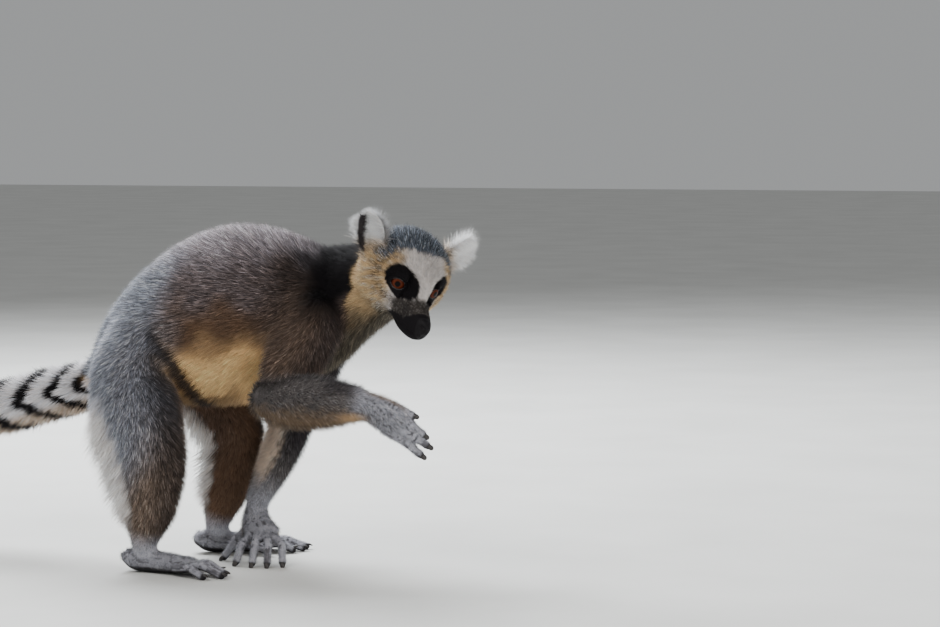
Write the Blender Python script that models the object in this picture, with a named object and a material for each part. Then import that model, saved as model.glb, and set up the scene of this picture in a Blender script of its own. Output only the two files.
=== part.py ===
"""Ring-tailed lemur, a still life-size model, pausing on three limbs with the right hand reaching out.

The lemur faces +X with its left side towards +Y, and stands on the floor z = 0.
Every part of the body is a loft: a superellipse carried along a smooth path through a few named stations.
A station is (x, y, z, depth, width) in millimetres: the centre of the section and its two half sizes, out to
the tips of the coat. The width lies along the loft's side direction, and the depth across both side and path.
"""

import math

import bmesh
import bpy
import numpy as np
from mathutils import Euler, Matrix, Vector

MM = 0.001
GAP = 0.3  # clearance between neighbouring pieces, in millimetres
FORWARD = (1.0, 0.0, 0.0)
LEFT = (0.0, 1.0, 0.0)

# --- Driving dimensions, in millimetres ---

# Torso: one loft from the rump to the back of the head, in upright sections.
TORSO = [
    (-135, 0, 172, 20, 20),
    (-121, 0, 184, 41, 37),
    (-100, 0, 201, 52, 51),
    (-75, 0, 212, 65, 60),
    (-46, 0, 219, 77, 66),
    (-11, 0, 225, 83, 67),
    (20, 0, 228, 80, 65),
    (50, 0, 231, 70, 58),
    (76, 0, 232, 59, 50),
    (95, 0, 238, 54, 43),
    (112, -6, 247, 47, 39),
    (130, -14, 254, 40, 37),
    (147, -22, 258, 33, 34),
]
NECK_STATION = 9  # where the neck is parted from the trunk

# Head: placed by the point between the eyes, with its own x forward, y left and z up.
HEAD_PLACE = (178.5, -55.0, 255.0)
HEAD_ROLL, HEAD_PITCH, HEAD_YAW = -17.0, 26.0, -53.0  # degrees, about its own x, y and z
HEAD = [
    (-56, 0, -2, 29, 28),
    (-46, 0, -1.5, 39.5, 38.5),
    (-32, 0, -2, 42.5, 43.5),
    (-18, 0, -3.5, 40, 39.5),
    (-8, 0, -5, 36, 31.5),
    (-1, 0, -7.5, 31.5, 24),
    (5, 0, -11.2, 28.2, 18.5),
    (12, 0, -15, 24, 14.5),
    (21, 0, -17, 20, 12),
    (30, 0, -17.5, 16.5, 10),
    (37, 0, -16.8, 12.8, 8),
    (42, 0, -15.5, 9.5, 6.5),
    (45, 0, -15, 6, 4.5),
]
NOSE_STATION = 11  # where the bare nose pad is parted from the muzzle

EYE_CENTRE = (-7.0, 15.0, 0.0)  # left eye, in the head's frame
EYE_RADIUS = 9.0
LIDS = [(4.0, 6.1), (14.0, 7.0), (24.0, 9.15)]  # the flared opening: distance along the gaze, half size
EYE_TURN, EYE_LIFT = 28.0, 4.0  # degrees that each eye looks outwards and upwards

EAR_ROOTS = {"left": (-38.0, 27.0, 15.0), "right": (-36.0, 31.0, 8.0)}  # in the head's frame, y outwards
EAR_HEIGHT = 43.5
EAR_HALF_WIDTH = 21.5
EAR_WALL = 5.0
EAR_CUP = 9.0  # depth of the hollow in front
EAR_LEVELS = (0.0, 0.12, 0.28, 0.46, 0.64, 0.8, 0.92, 0.985)  # its sections, as shares of its height
EAR_ROOT_BREADTH, EAR_FLARE = 0.62, 0.6  # breadth at the root, and its growth
EAR_TIP_POWER = 3.2  # how square the tip is
EAR_WALL_TAPER, EAR_CUP_TAPER = 0.45, 0.5  # what the wall and the hollow lose from root to tip
EAR_FACE_SHARE = 0.35  # share of the wall in front of the hollow's surface
EAR_TURNS = {"left": (52.0, 12.0, 19.0), "right": (33.0, 9.0, 42.0)}  # degrees out, back, and to face outwards

# Tail: leaves the rump backwards and slightly down, then rises over the back in a loose S.
TAIL = [
    (-112, 0, 176, 19, 19),
    (-150, 8, 159, 25, 24),
    (-196, 22, 147, 27, 26),
    (-250, 39, 133, 28, 27),
    (-300, 51, 135, 28, 28),
    (-337, 59, 160, 28, 28),
    (-353, 64, 204, 28, 28),
    (-353, 67, 252, 28, 28),
    (-344, 69, 300, 28, 28),
    (-332, 69, 346, 27, 27),
    (-323, 67, 393, 27, 27),
    (-322, 63, 439, 26, 26),
    (-333, 59, 482, 24, 24),
    (-357, 55, 514, 18, 18),
]
TAIL_CUTS = [0, 3, 6, 8, 11, 13]  # stations between the five lengths of the tail

# Limbs. The first station of each is buried in the torso.
RIGHT_LEG = [
    (-80, -34, 212, 33, 28),
    (-87, -45, 176, 41, 33),
    (-80, -54, 144, 44, 35),
    (-69, -60, 112, 40, 31),
    (-66, -61, 84, 36, 27),
    (-65, -61, 60, 28, 22),
    (-69, -60, 40, 20, 17),
    (-71, -60, 27, 14, 14),
]
LEFT_LEG = [
    (-84, 34, 212, 32, 28),
    (-70, 46, 178, 36, 31),
    (-47, 56, 144, 35, 29),
    (-28, 61, 113, 31, 26),
    (-32, 63, 86, 28, 23),
    (-38, 65, 61, 25, 21),
    (-45, 66, 40, 18, 16),
    (-48, 66, 27, 13, 13),
]
KNEE_STATION = 3

RIGHT_UPPER_ARM = [
    (82, -34, 236, 32, 26),
    (74, -46, 208, 33, 26),
    (62, -57, 182, 28, 23),
    (54, -65, 161, 20, 16),
]
RIGHT_FOREARM = [
    (43, -66, 157, 21, 18),
    (56, -68, 157, 26, 22),
    (76, -72, 157, 28, 21),
    (104, -76, 157, 26, 20),
    (123, -77, 157, 21, 17),
    (139, -76, 156, 17, 14),
]
LEFT_ARM = [
    (70, 32, 222, 30, 25),
    (58, 43, 190, 29, 24),
    (44, 48, 160, 27, 23),
    (32, 48, 131, 25, 22),
    (24, 44, 104, 22, 20),
    (14, 38, 79, 18, 17),
    (6, 31, 60, 14, 14),
    (3, 27, 46, 12, 13),
]
ELBOW_STATION = 3

# Hands: the palm's end and the finger joints. A digit is (root, bend, tip), each (x, y, z).
RIGHT_PALM = [(154, -75, 149, 12.5, 16.5), (164, -74, 143, 11, 18)]
RIGHT_FINGERS = {
    "thumb": [(148, -66, 143), (160, -57, 137), (173, -53, 132)],
    "second": [(160, -75, 157), (171, -77, 153), (182, -73, 147)],
    "third": [(163, -76, 149), (179, -77, 141), (190, -69, 130)],
    "fourth": [(161, -76, 141), (180, -75, 131), (193, -67, 120.5)],
    "fifth": [(156, -75, 134), (173, -73, 125), (187, -66, 112)],
}
RIGHT_PALM_SIDE = (0.15, -0.45, 0.88)
LEFT_PALM = [(6, 22, 34, 11, 15), (14, 13, 26, 9, 18)]
LEFT_FINGERS = {
    "thumb": [(0, 22, 34), (-13, 21, 20), (-25, 18, 2.5)],
    "second": [(4, 8, 25), (0, -2, 19), (-4, -8, 2.5)],
    "third": [(12, 6, 27), (14, -6, 21), (13, -13, 2.5)],
    "fourth": [(20, 7, 26), (26, -5, 21), (27, -12, 2.5)],
    "fifth": [(26, 12, 24), (36, 3, 19), (39, -4, 2.5)],
}
LEFT_PALM_SIDE = (1.0, 0.25, 0.0)
FINGER_RADIUS = 4.6
FINGERTIP_RADIUS = 3.9
DIGIT_SIDE = (0.3, 0.2, 0.93)  # the direction that a digit's section is turned to

# Feet, in a frame of their own: x from the heel to the toes, y towards the big toe, z up from the floor.
SOLE = [
    (-17, 0, 13, 8, 10),
    (-8, 0, 10.5, 11, 12),
    (8, 1, 9.5, 11, 12),
    (28, 2, 8.5, 9, 14),
    (42, 0, 7.5, 7, 17),
]
TOES = {
    "big_toe": [(20, 7, 8), (33, 21, 8.5), (46, 30, 3.5)],
    "second": [(40, 10, 7), (57, 13, 9), (70, 14, 2.5)],
    "third": [(42, 3, 7), (62, 4, 10), (80, 4, 2.5)],
    "fourth": [(42, -5, 7), (63, -7, 10), (84, -8, 2.5)],
    "fifth": [(38, -12, 7), (56, -17, 9), (72, -20, 2.5)],
}
ANKLE_CORE = 8.0  # half width of the ankle where it ends inside the sole
TOE_RADIUS = 4.6
BIG_TOE_RADIUS = 5.6
RIGHT_FOOT_TURN, LEFT_FOOT_TURN = -10.0, 22.0  # degrees that each foot points off the line of travel

# Fineness: points round a section, and rings between two stations.
TORSO_SIDES, HEAD_SIDES, LIMB_SIDES, PAW_SIDES, DIGIT_SIDES, LID_SIDES = 16, 16, 12, 10, 6, 10
EAR_POINTS = 8
TORSO_STEPS, HEAD_STEPS, LIMB_STEPS, DIGIT_STEPS = 2, 2, 2, 2
EYE_SEGMENTS, EYE_RINGS = 12, 8
FLOOR_REACH = 200.0  # half size of the slab that flattens the soles
CAP_RINGS = 2
CAP_REACH = 0.8  # height of a rounded end, as a share of the section's smaller half size

COLOURS = {  # base colour, roughness
    "coat_grey": ((0.23, 0.225, 0.23), 0.9),
    "coat_white": ((0.72, 0.68, 0.62), 0.9),
    "coat_ringed": ((0.34, 0.33, 0.33), 0.9),
    "bare_skin": ((0.03, 0.028, 0.03), 0.5),
    "eye": ((0.42, 0.12, 0.02), 0.08),
}


# --- Shape tools ---


def material(name):
    """A Principled material with the colour and roughness of that finish."""
    found = bpy.data.materials.get(name)
    if found:
        return found
    made = bpy.data.materials.new(name)
    made.use_nodes = True
    shader = made.node_tree.nodes["Principled BSDF"]
    colour, roughness = COLOURS[name]
    shader.inputs["Base Color"].default_value = (*colour, 1.0)
    shader.inputs["Roughness"].default_value = roughness
    shader.inputs["Metallic"].default_value = 0.0
    return made


def smooth(stations, steps):
    """Rows on a Catmull-Rom curve through the stations, with steps rows to each span."""
    rows = np.array(stations, float)
    padded = np.vstack([2 * rows[0] - rows[1], rows, 2 * rows[-1] - rows[-2]])
    made = []
    for i in range(len(rows) - 1):
        before, start, end, after = padded[i : i + 4]
        for t in np.arange(steps) / steps:
            made.append(
                0.5
                * (
                    2 * start
                    + (end - before) * t
                    + (2 * before - 5 * start + 4 * end - after) * t**2
                    + (3 * start - before - 3 * end + after) * t**3
                )
            )
    return np.array(made + [rows[-1]])


def section_axes(centres, side, lead=None, facing=None):
    """For each centre the section's normal, the width axis nearest to side, and the depth axis.

    The normal is the path's direction, or facing where that is given. lead, where given, is the normal of the
    first section, which then lies in a neighbour's plane.
    """
    if facing is None:
        along = np.gradient(centres, axis=0)
    else:
        along = np.tile(np.array(facing, float), (len(centres), 1))
    if lead is not None:
        along[0] = lead
    along /= np.linalg.norm(along, axis=1)[:, None]
    width = np.array(side, float) - (along @ np.array(side, float))[:, None] * along
    width /= np.linalg.norm(width, axis=1)[:, None]
    return along, width, np.cross(along, width)


def half_ellipsoid(row, direction):
    """Rows that close a loft beyond its last row, and the position of the tip."""
    reach = CAP_REACH * min(row[3], row[4])
    angles = np.arange(1, CAP_RINGS) / CAP_RINGS * math.pi / 2
    rings = [[*(row[:3] + direction * reach * math.sin(a)), *(row[3:] * math.cos(a))] for a in angles]
    return np.array(rings), row[:3] + direction * reach


def loft(
    name,
    rows,
    first=0,
    last=None,
    side=LEFT,
    sides=LIMB_SIDES,
    finish="coat_grey",
    start="round",
    end="round",
    lead=None,
    facing=None,
    grow=0.0,
    place=None,
):
    """An object lofted through dense rows of (x, y, z, depth, width), or through some of them.

    Args:
        name: the object's name.
        rows: the whole path, which sets the direction of every section.
        first, last: the first and last row that the object takes.
        side: the direction that the sections' width is nearest to.
        sides: the number of points round a section.
        finish: the material's name.
        start, end: "round" for half an ellipsoid, or "flat" for a plane drawn back by half the gap.
        lead: the normal of the path's first section.
        facing: the normal of every section, where it isn't the path's direction.
        grow: what every half size gains.
        place: a matrix in millimetres that carries the loft to where it belongs.
    """
    whole = np.array(rows, float)
    taken = slice(first, len(whole) if last is None else last + 1)
    along, width, depth = (axis[taken] for axis in section_axes(whole[:, :3], side, lead, facing))
    rows = whole[taken].copy()
    rows[:, 3:] += grow
    tips = [None, None]
    head_rings = tail_rings = np.empty((0, 5))
    if start == "round":
        head_rings, tips[0] = half_ellipsoid(rows[0], -along[0])
    else:
        rows[0, :3] += along[0] * GAP / 2
    if end == "round":
        tail_rings, tips[1] = half_ellipsoid(rows[-1], along[-1])
    else:
        rows[-1, :3] -= along[-1] * GAP / 2
    index = np.clip(np.arange(-len(head_rings), len(rows) + len(tail_rings)), 0, len(rows) - 1)
    rows = np.vstack([head_rings[::-1], rows, tail_rings])
    angle = 2 * math.pi * (np.arange(sides) + 0.5) / sides
    points = (
        rows[:, None, :3]
        + rows[:, None, 3:4] * np.sin(angle)[None, :, None] * depth[index][:, None]
        + rows[:, None, 4:5] * np.cos(angle)[None, :, None] * width[index][:, None]
    )
    shape = bmesh.new()
    rings = [[shape.verts.new(Vector(p)) for p in ring] for ring in points]
    for low, high in zip(rings, rings[1:]):
        for k in range(sides):
            n = (k + 1) % sides
            shape.faces.new((low[k], low[n], high[n]))
            shape.faces.new((low[k], high[n], high[k]))
    for ring, tip in ((rings[0], tips[0]), (rings[-1], tips[1])):
        if tip is None:
            shape.faces.new(ring)
            continue
        pole = shape.verts.new(Vector(tip))
        for k in range(sides):
            shape.faces.new((ring[k], ring[(k + 1) % sides], pole))
    return finished(name, shape, finish, place)


def finished(name, shape, finish, place=None):
    """An object in metres from a bmesh in millimetres, with its faces pointing out."""
    if place is not None:
        bmesh.ops.transform(shape, matrix=place, verts=shape.verts)
    bmesh.ops.scale(shape, vec=Vector((MM, MM, MM)), verts=shape.verts)
    bmesh.ops.recalc_face_normals(shape, faces=shape.faces)
    mesh = bpy.data.meshes.new(name)
    shape.to_mesh(mesh)
    shape.free()
    mesh.shade_smooth()
    mesh.materials.append(material(finish))
    made = bpy.data.objects.new(name, mesh)
    bpy.context.scene.collection.objects.link(made)
    return made


def hide(obj):
    """Marks a cutter or a joined piece, which isn't part of the animal."""
    obj.hide_render = True
    obj.display_type = "WIRE"
    return obj


def combine(obj, other, operation):
    """Adds an exact Boolean of obj with other."""
    step = obj.modifiers.new(f"{operation.lower()}_{other.name}", "BOOLEAN")
    step.operation = operation
    step.solver = "EXACT"
    step.object = hide(other)


def cut(obj, *others):
    """Takes the other shapes away from obj."""
    for other in others:
        combine(obj, other, "DIFFERENCE")


# --- Torso, neck and tail ---


def torso():
    """The trunk and neck, parted by a thin plane. Returns the neck and a cutter a gap larger than both."""
    rows = smooth(TORSO, TORSO_STEPS)
    parting = NECK_STATION * TORSO_STEPS
    common = {"sides": TORSO_SIDES, "facing": FORWARD}
    loft("trunk", rows, last=parting, end="flat", **common)
    neck = loft("neck", rows, first=parting, finish="coat_white", start="flat", **common)
    return neck, hide(loft("torso_space", rows, grow=GAP, **common))


def tail(torso_space):
    """Lengths of tail from the root to the tip, the first one fitted against the rump."""
    rows = smooth(TAIL, LIMB_STEPS)
    lengths = list(zip(TAIL_CUTS, TAIL_CUTS[1:]))
    for number, (root, tip) in enumerate(lengths, start=1):
        piece = loft(
            f"tail_{number}",
            rows,
            first=root * LIMB_STEPS,
            last=tip * LIMB_STEPS,
            finish="coat_ringed",
            start="round" if number == 1 else "flat",
            end="round" if number == len(lengths) else "flat",
        )
        if number == 1:
            cut(piece, torso_space)


# --- Head ---


def head_matrix():
    """Carries the head's own frame to its place on the neck."""
    turn = Euler([math.radians(a) for a in (HEAD_ROLL, HEAD_PITCH, HEAD_YAW)], "XYZ")
    return Matrix.Translation(Vector(HEAD_PLACE)) @ turn.to_matrix().to_4x4()


def gaze(hand):
    """The direction that an eye looks in, in the head's frame. hand is 1 for left and -1 for right."""
    turn, lift = math.radians(EYE_TURN), math.radians(EYE_LIFT)
    return Vector((math.cos(turn) * math.cos(lift), hand * math.sin(turn) * math.cos(lift), math.sin(lift)))


def ball(name, centre, radius, finish, place):
    """A sphere."""
    shape = bmesh.new()
    bmesh.ops.create_uvsphere(shape, u_segments=EYE_SEGMENTS, v_segments=EYE_RINGS, radius=radius)
    bmesh.ops.translate(shape, vec=Vector(centre), verts=shape.verts)
    return finished(name, shape, finish, place)


def ear_sections():
    """Heights up an ear with half width, wall and cup depth: broad at mid height and rounded at the top."""
    for t in EAR_LEVELS:
        spread = (EAR_ROOT_BREADTH + EAR_FLARE * t) * math.sqrt(1 - t**EAR_TIP_POWER)
        wall = EAR_WALL * (1 - EAR_WALL_TAPER * t)
        yield EAR_HEIGHT * t, EAR_HALF_WIDTH * spread, wall, EAR_CUP * (1 - EAR_CUP_TAPER * t) * spread


def ear(hand, place):
    """A cupped ear: crescents stacked along its height, open towards the front."""
    shape = bmesh.new()
    side = "left" if hand > 0 else "right"
    root = EAR_ROOTS[side]
    splay, sweep, facing = EAR_TURNS[side]
    turn = (
        Matrix.Translation(Vector((root[0], hand * root[1], root[2])))
        @ Matrix.Rotation(math.radians(-hand * splay), 4, "X")
        @ Matrix.Rotation(math.radians(-sweep), 4, "Y")
        @ Matrix.Rotation(math.radians(hand * facing), 4, "Z")
    )
    across = np.linspace(-1, 1, EAR_POINTS)
    rim = np.sqrt(np.clip(1 - across**2, 0, 1))
    rings = []
    for height, breadth, wall, cup in ear_sections():
        bowl = cup * across**2
        back = bowl - wall * (EAR_FACE_SHARE + (1 - EAR_FACE_SHARE) * rim)
        front = bowl + wall * EAR_FACE_SHARE * rim
        outline = list(zip(back, across)) + list(zip(front, across))[::-1]
        rings.append([shape.verts.new(Vector((x, breadth * y, height))) for x, y in outline])
    for low, high in zip(rings, rings[1:]):
        for k in range(len(low)):
            n = (k + 1) % len(low)
            shape.faces.new((low[k], low[n], high[n], high[k]))
    for ring in (rings[0], rings[-1]):
        half = len(ring) // 2
        for k in range(half - 1):
            shape.faces.new((ring[k], ring[k + 1], ring[-2 - k], ring[-1 - k]))
    bmesh.ops.recalc_face_normals(shape, faces=shape.faces)
    return finished(f"ear_{side}", shape, "coat_white", place @ turn)


def head(neck):
    """The head with its eyes set in sockets, the nose pad and the ears."""
    place = head_matrix()
    rows = smooth(HEAD, HEAD_STEPS)
    parting = NOSE_STATION * HEAD_STEPS
    skull = loft("head", rows, last=parting, sides=HEAD_SIDES, finish="coat_white", end="flat", place=place)
    loft("nose", rows, first=parting, sides=HEAD_SIDES, finish="bare_skin", start="flat", place=place)
    space = hide(loft("head_space", rows, sides=HEAD_SIDES, grow=GAP, place=place))
    cut(neck, space)
    for hand, side in ((1, "left"), (-1, "right")):
        centre = Vector((EYE_CENTRE[0], hand * EYE_CENTRE[1], EYE_CENTRE[2]))
        ball(f"eye_{side}", centre, EYE_RADIUS, "eye", place)
        socket = ball(f"socket_{side}", centre, EYE_RADIUS + GAP, "eye", place)
        tunnel = [(*(centre + gaze(hand) * reach), half_size, half_size) for reach, half_size in LIDS]
        ends = {"start": "flat", "end": "flat"}
        opening = loft(f"lids_{side}", tunnel, side=(0, 0, 1), sides=LID_SIDES, place=place, **ends)
        cut(skull, socket, opening)
        cut(ear(hand, place), space)


# --- Limbs ---


def limb(names, stations, parting, torso_space):
    """Upper and lower lengths of a limb, parted by a plane at the knee or elbow. Returns the limb's rows."""
    rows = smooth(stations, LIMB_STEPS)
    upper = loft(names[0], rows, last=parting * LIMB_STEPS, end="flat")
    cut(upper, torso_space)
    loft(names[1], rows, first=parting * LIMB_STEPS, start="flat", end="flat")
    return rows


def folded_limb(names, upper_stations, lower_stations, torso_space):
    """A limb bent so sharply that its upper length is fitted over the lower one. Returns the lower rows."""
    upper = loft(names[0], smooth(upper_stations, LIMB_STEPS))
    rows = smooth(lower_stations, LIMB_STEPS)
    loft(names[1], rows, end="flat")
    cut(upper, torso_space, loft(f"{names[1]}_space", rows, end="flat", grow=GAP))
    return rows


def limb_end(rows):
    """The last row of a limb and the direction in which a paw carries on from it."""
    direction = rows[-1, :3] - rows[-2, :3]
    return rows[-1], direction / np.linalg.norm(direction)


def digit(name, joints, root_radius, tip_radius, place):
    """A finger or toe through three joints, thickest at its root and rounded at its tip."""
    radii = np.linspace(root_radius, tip_radius, len(joints))
    rows = smooth([(*p, r, r) for p, r in zip(joints, radii)], DIGIT_STEPS)
    return loft(name, rows, side=DIGIT_SIDE, sides=DIGIT_SIDES, finish="bare_skin", place=place)


def floor_cutter(name):
    """A slab whose top is the floor, which gives a paw the small flats that it rests on."""
    shape = bmesh.new()
    bmesh.ops.create_cube(shape, size=2 * FLOOR_REACH)
    bmesh.ops.translate(shape, vec=Vector((0, 0, -FLOOR_REACH)), verts=shape.verts)
    return finished(name, shape, "bare_skin")


def add_digits(palm, digits, radii, place=None):
    """Joins five digits to a palm or a sole. radii pairs each root radius with its tip radius."""
    for (digit_name, joints), (root, tip) in zip(digits.items(), radii):
        combine(palm, digit(f"{palm.name}_{digit_name}", joints, root, tip, place), "UNION")


def hand(name, arm_rows, palm, palm_side, fingers, on_floor):
    """A hand whose palm carries on from the last section of the forearm."""
    wrist, lead = limb_end(arm_rows)
    rows = smooth([tuple(wrist), *palm], LIMB_STEPS)
    made = loft(name, rows, side=palm_side, sides=PAW_SIDES, finish="bare_skin", start="flat", lead=lead)
    add_digits(made, fingers, [(FINGER_RADIUS, FINGERTIP_RADIUS)] * len(fingers))
    if on_floor:
        cut(made, floor_cutter(f"{name}_floor"))


def foot(name, leg_rows, big_toe_side, turn):
    """A foot flat on the floor, with an ankle that carries on from the last section of the lower leg.

    big_toe_side is 1 where the big toe lies towards +Y and -1 where it lies towards -Y.
    """
    ankle, lead = limb_end(leg_rows)
    place = (
        Matrix.Translation(Vector((ankle[0], ankle[1], 0)))
        @ Matrix.Rotation(math.radians(turn), 4, "Z")
        @ Matrix.Diagonal(Vector((1, big_toe_side, 1, 1)))
    )
    sole_rows = smooth(SOLE, LIMB_STEPS)
    made = loft(name, sole_rows, sides=PAW_SIDES, finish="bare_skin", place=place)
    add_digits(made, TOES, [(BIG_TOE_RADIUS, TOE_RADIUS)] + [(TOE_RADIUS, FINGERTIP_RADIUS)] * 4, place)
    inside = np.array([ankle[0], ankle[1], SOLE[1][2], ANKLE_CORE, ANKLE_CORE])
    stub = smooth([ankle, (ankle + inside) / 2, inside], LIMB_STEPS)
    combine(made, loft(f"{name}_ankle", stub, finish="bare_skin", start="flat", lead=lead), "UNION")
    cut(made, floor_cutter(f"{name}_floor"))


def clear_scene():
    """Removes whatever the scene holds."""
    for obj in list(bpy.data.objects):
        bpy.data.objects.remove(obj)


def centre_on_floor():
    """Moves everything so that the middle of the animal's bounding box stands over the origin."""
    bpy.context.view_layer.update()
    graph = bpy.context.evaluated_depsgraph_get()
    shown = [obj.evaluated_get(graph) for obj in bpy.data.objects if not obj.hide_render]
    corners = np.array([obj.matrix_world @ Vector(corner) for obj in shown for corner in obj.bound_box])
    middle = (corners.min(axis=0) + corners.max(axis=0)) / 2
    for obj in bpy.data.objects:
        obj.location = (-middle[0], -middle[1], -corners[:, 2].min())


def main():
    """Builds the lemur."""
    clear_scene()
    neck, torso_space = torso()
    tail(torso_space)
    head(neck)
    right_leg = limb(("thigh_right", "shank_right"), RIGHT_LEG, KNEE_STATION, torso_space)
    left_leg = limb(("thigh_left", "shank_left"), LEFT_LEG, KNEE_STATION, torso_space)
    right_arm = folded_limb(("upper_arm_right", "forearm_right"), RIGHT_UPPER_ARM, RIGHT_FOREARM, torso_space)
    left_arm = limb(("upper_arm_left", "forearm_left"), LEFT_ARM, ELBOW_STATION, torso_space)
    hand("hand_right", right_arm, RIGHT_PALM, RIGHT_PALM_SIDE, RIGHT_FINGERS, False)
    hand("hand_left", left_arm, LEFT_PALM, LEFT_PALM_SIDE, LEFT_FINGERS, True)
    foot("foot_right", right_leg, 1, RIGHT_FOOT_TURN)
    foot("foot_left", left_leg, -1, LEFT_FOOT_TURN)
    centre_on_floor()


main()
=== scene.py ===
"""Ring-tailed lemur, life size, pausing on three limbs with the right hand reaching out.

One skin carries every bare and furred surface. It is the union of the body's lofts, drawn in by the depth of the
coat, and blended where they meet. The coat is made of closed tufts that grow from it. Lengths are in millimetres
in the animal's own frame (x forwards, y to its left, z up from the floor) until a mesh is made, which is in metres.
"""

import sys
import logging
import math
from dataclasses import dataclass, field
from enum import Enum
from functools import cached_property
from typing import Callable, Iterable, Sequence

import bmesh
import bpy
import numpy as np
from mathutils import Euler, Matrix, Vector


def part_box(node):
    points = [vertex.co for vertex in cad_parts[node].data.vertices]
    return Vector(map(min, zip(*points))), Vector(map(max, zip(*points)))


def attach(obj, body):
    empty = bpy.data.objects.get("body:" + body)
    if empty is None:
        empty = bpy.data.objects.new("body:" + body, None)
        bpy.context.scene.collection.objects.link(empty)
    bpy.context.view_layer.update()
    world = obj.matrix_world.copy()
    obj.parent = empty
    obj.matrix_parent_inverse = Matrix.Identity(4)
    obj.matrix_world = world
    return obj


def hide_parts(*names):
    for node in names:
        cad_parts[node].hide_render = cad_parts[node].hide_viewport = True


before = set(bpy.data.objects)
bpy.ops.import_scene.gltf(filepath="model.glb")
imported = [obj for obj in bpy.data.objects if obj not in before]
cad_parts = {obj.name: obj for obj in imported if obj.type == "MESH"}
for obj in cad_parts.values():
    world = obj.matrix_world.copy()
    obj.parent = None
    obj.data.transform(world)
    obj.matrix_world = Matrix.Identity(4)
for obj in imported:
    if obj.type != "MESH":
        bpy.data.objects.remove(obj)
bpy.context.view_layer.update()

LOG = logging.getLogger("lemur")
Array = np.ndarray
Triple = tuple[float, float, float]
Shell = tuple[Array, list[tuple[int, ...]]]

MM = 0.001
FORWARD: Triple = (1.0, 0.0, 0.0)
LEFT: Triple = (0.0, 1.0, 0.0)
UP: Triple = (0.0, 0.0, 1.0)
SEED = 20817
COLOUR = "coat_colour"
BARE = "bare"


# --- Small maths ---


def unit(vectors: Array) -> Array:
    """Vectors of length one along the last axis."""
    return vectors / np.maximum(np.linalg.norm(vectors, axis=-1, keepdims=True), 1e-9)


def step(low: float, high: float, value: Array) -> Array:
    """A smooth rise from 0 at low to 1 at high, as t squared times (3 - 2t). low may lie above high."""
    t = np.clip((value - low) / (high - low), 0.0, 1.0)
    return t * t * (3.0 - 2.0 * t)


def blend(first: Array, second: Array, share: Array) -> Array:
    """The mix of two rows of colours or vectors by a share for each row."""
    return first + (second - first) * np.asarray(share)[..., None]


def ripple(points: Array, size: float, seed: int, waves: int = 7) -> Array:
    """A smooth random field of about -1 to 1: the sum of sines along seeded directions, of about that size in mm.

    Args:
        points: the points.
        size: the waves' length in mm.
        seed: the seed of directions and phases.
        waves: how many are summed.

    Returns:
        A value for each point.
    """
    rng = np.random.default_rng(seed)
    directions = unit(rng.normal(size=(waves, 3))) * (2 * math.pi / size) * rng.uniform(0.6, 1.5, (waves, 1))
    return np.sin(points @ directions.T + rng.uniform(0, 2 * math.pi, waves)).sum(axis=1) / math.sqrt(waves)


def smooth_rows(stations: Sequence[Sequence[float]], steps: int) -> Array:
    """Rows on a Catmull-Rom curve through the stations: four blending weights on each run of four stations.

    Args:
        stations: rows of numbers.
        steps: how many rows to make from one station to the next.

    Returns:
        The rows, and the last station.
    """
    rows = np.asarray(stations, float)
    padded = np.vstack([2 * rows[0] - rows[1], rows, 2 * rows[-1] - rows[-2]])
    t = np.arange(steps) / steps
    weights = 0.5 * np.stack(
        [-t + 2 * t**2 - t**3, 2 - 5 * t**2 + 3 * t**3, t + 4 * t**2 - 3 * t**3, -(t**2) + t**3], axis=1
    )
    spans = np.stack([padded[i : len(rows) - 1 + i] for i in range(4)], axis=1)
    return np.vstack([np.einsum("st,ntk->nsk", weights, spans).reshape(-1, rows.shape[1]), rows[-1:]])


def angles_round(count: int) -> Array:
    """Angles spaced evenly round a circle."""
    return np.linspace(0, 2 * math.pi, count, endpoint=False)


def carried(place: Array, points: Array) -> Array:
    """Points moved by a 4 x 4 matrix."""
    return points @ place[:3, :3].T + place[:3, 3]


def turned(place: Array, vectors: Array) -> Array:
    """Directions turned by a 4 x 4 matrix."""
    return unit(vectors @ place[:3, :3].T)


# --- The body's measures ---

TORSO = [  # x, y, z, half depth, half width, depth of the coat
    (-135, 0, 172, 20, 20, 8),
    (-121, 0, 184, 41, 37, 9),
    (-100, 0, 201, 52, 51, 9),
    (-75, 0, 212, 65, 60, 9),
    (-46, 0, 219, 77, 66, 8.5),
    (-11, 0, 225, 83, 67, 8.5),
    (20, 0, 228, 80, 65, 8.5),
    (50, 0, 231, 70, 58, 8.5),
    (76, 0, 232, 59, 50, 8),
    (95, 0, 238, 54, 43, 8),
    (112, -6, 247, 47, 39, 8),
    (130, -14, 254, 40, 37, 7),
    (147, -22, 258, 33, 34, 5.5),
]
HEAD_PLACE = (178.5, -55.0, 255.0)
HEAD_TURN = (-17.0, 26.0, -53.0)
HEAD = [
    (-56, 0, -2, 29, 28, 6),
    (-46, 0, -1.5, 39.5, 38.5, 6),
    (-32, 0, -2, 42.5, 43.5, 5),
    (-18, 0, -3.5, 40, 39.5, 4.2),
    (-8, 0, -5, 36, 31.5, 3.2),
    (-1, 0, -7.5, 31.5, 24, 2.3),
    (5, 0, -11.2, 28.2, 18.5, 1.8),
    (12, 0, -15, 24, 14.5, 1.5),
    (21, 0, -17, 20, 12, 1.2),
    (30, 0, -17.5, 16.5, 10, 0.9),
    (37, 0, -16.8, 12.8, 8, 0.5),
    (42, 0, -15.5, 9.5, 6.5, 0.3),
    (45, 0, -15, 6, 4.5, 0.1),
]
EYE_CENTRE = (-7.0, 15.0, 0.0)
EYE_RADIUS = 9.0
EYE_TURN, EYE_LIFT = math.radians(28.0), math.radians(4.0)
EYE_OPENING = (6.3, 4.7)
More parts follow.
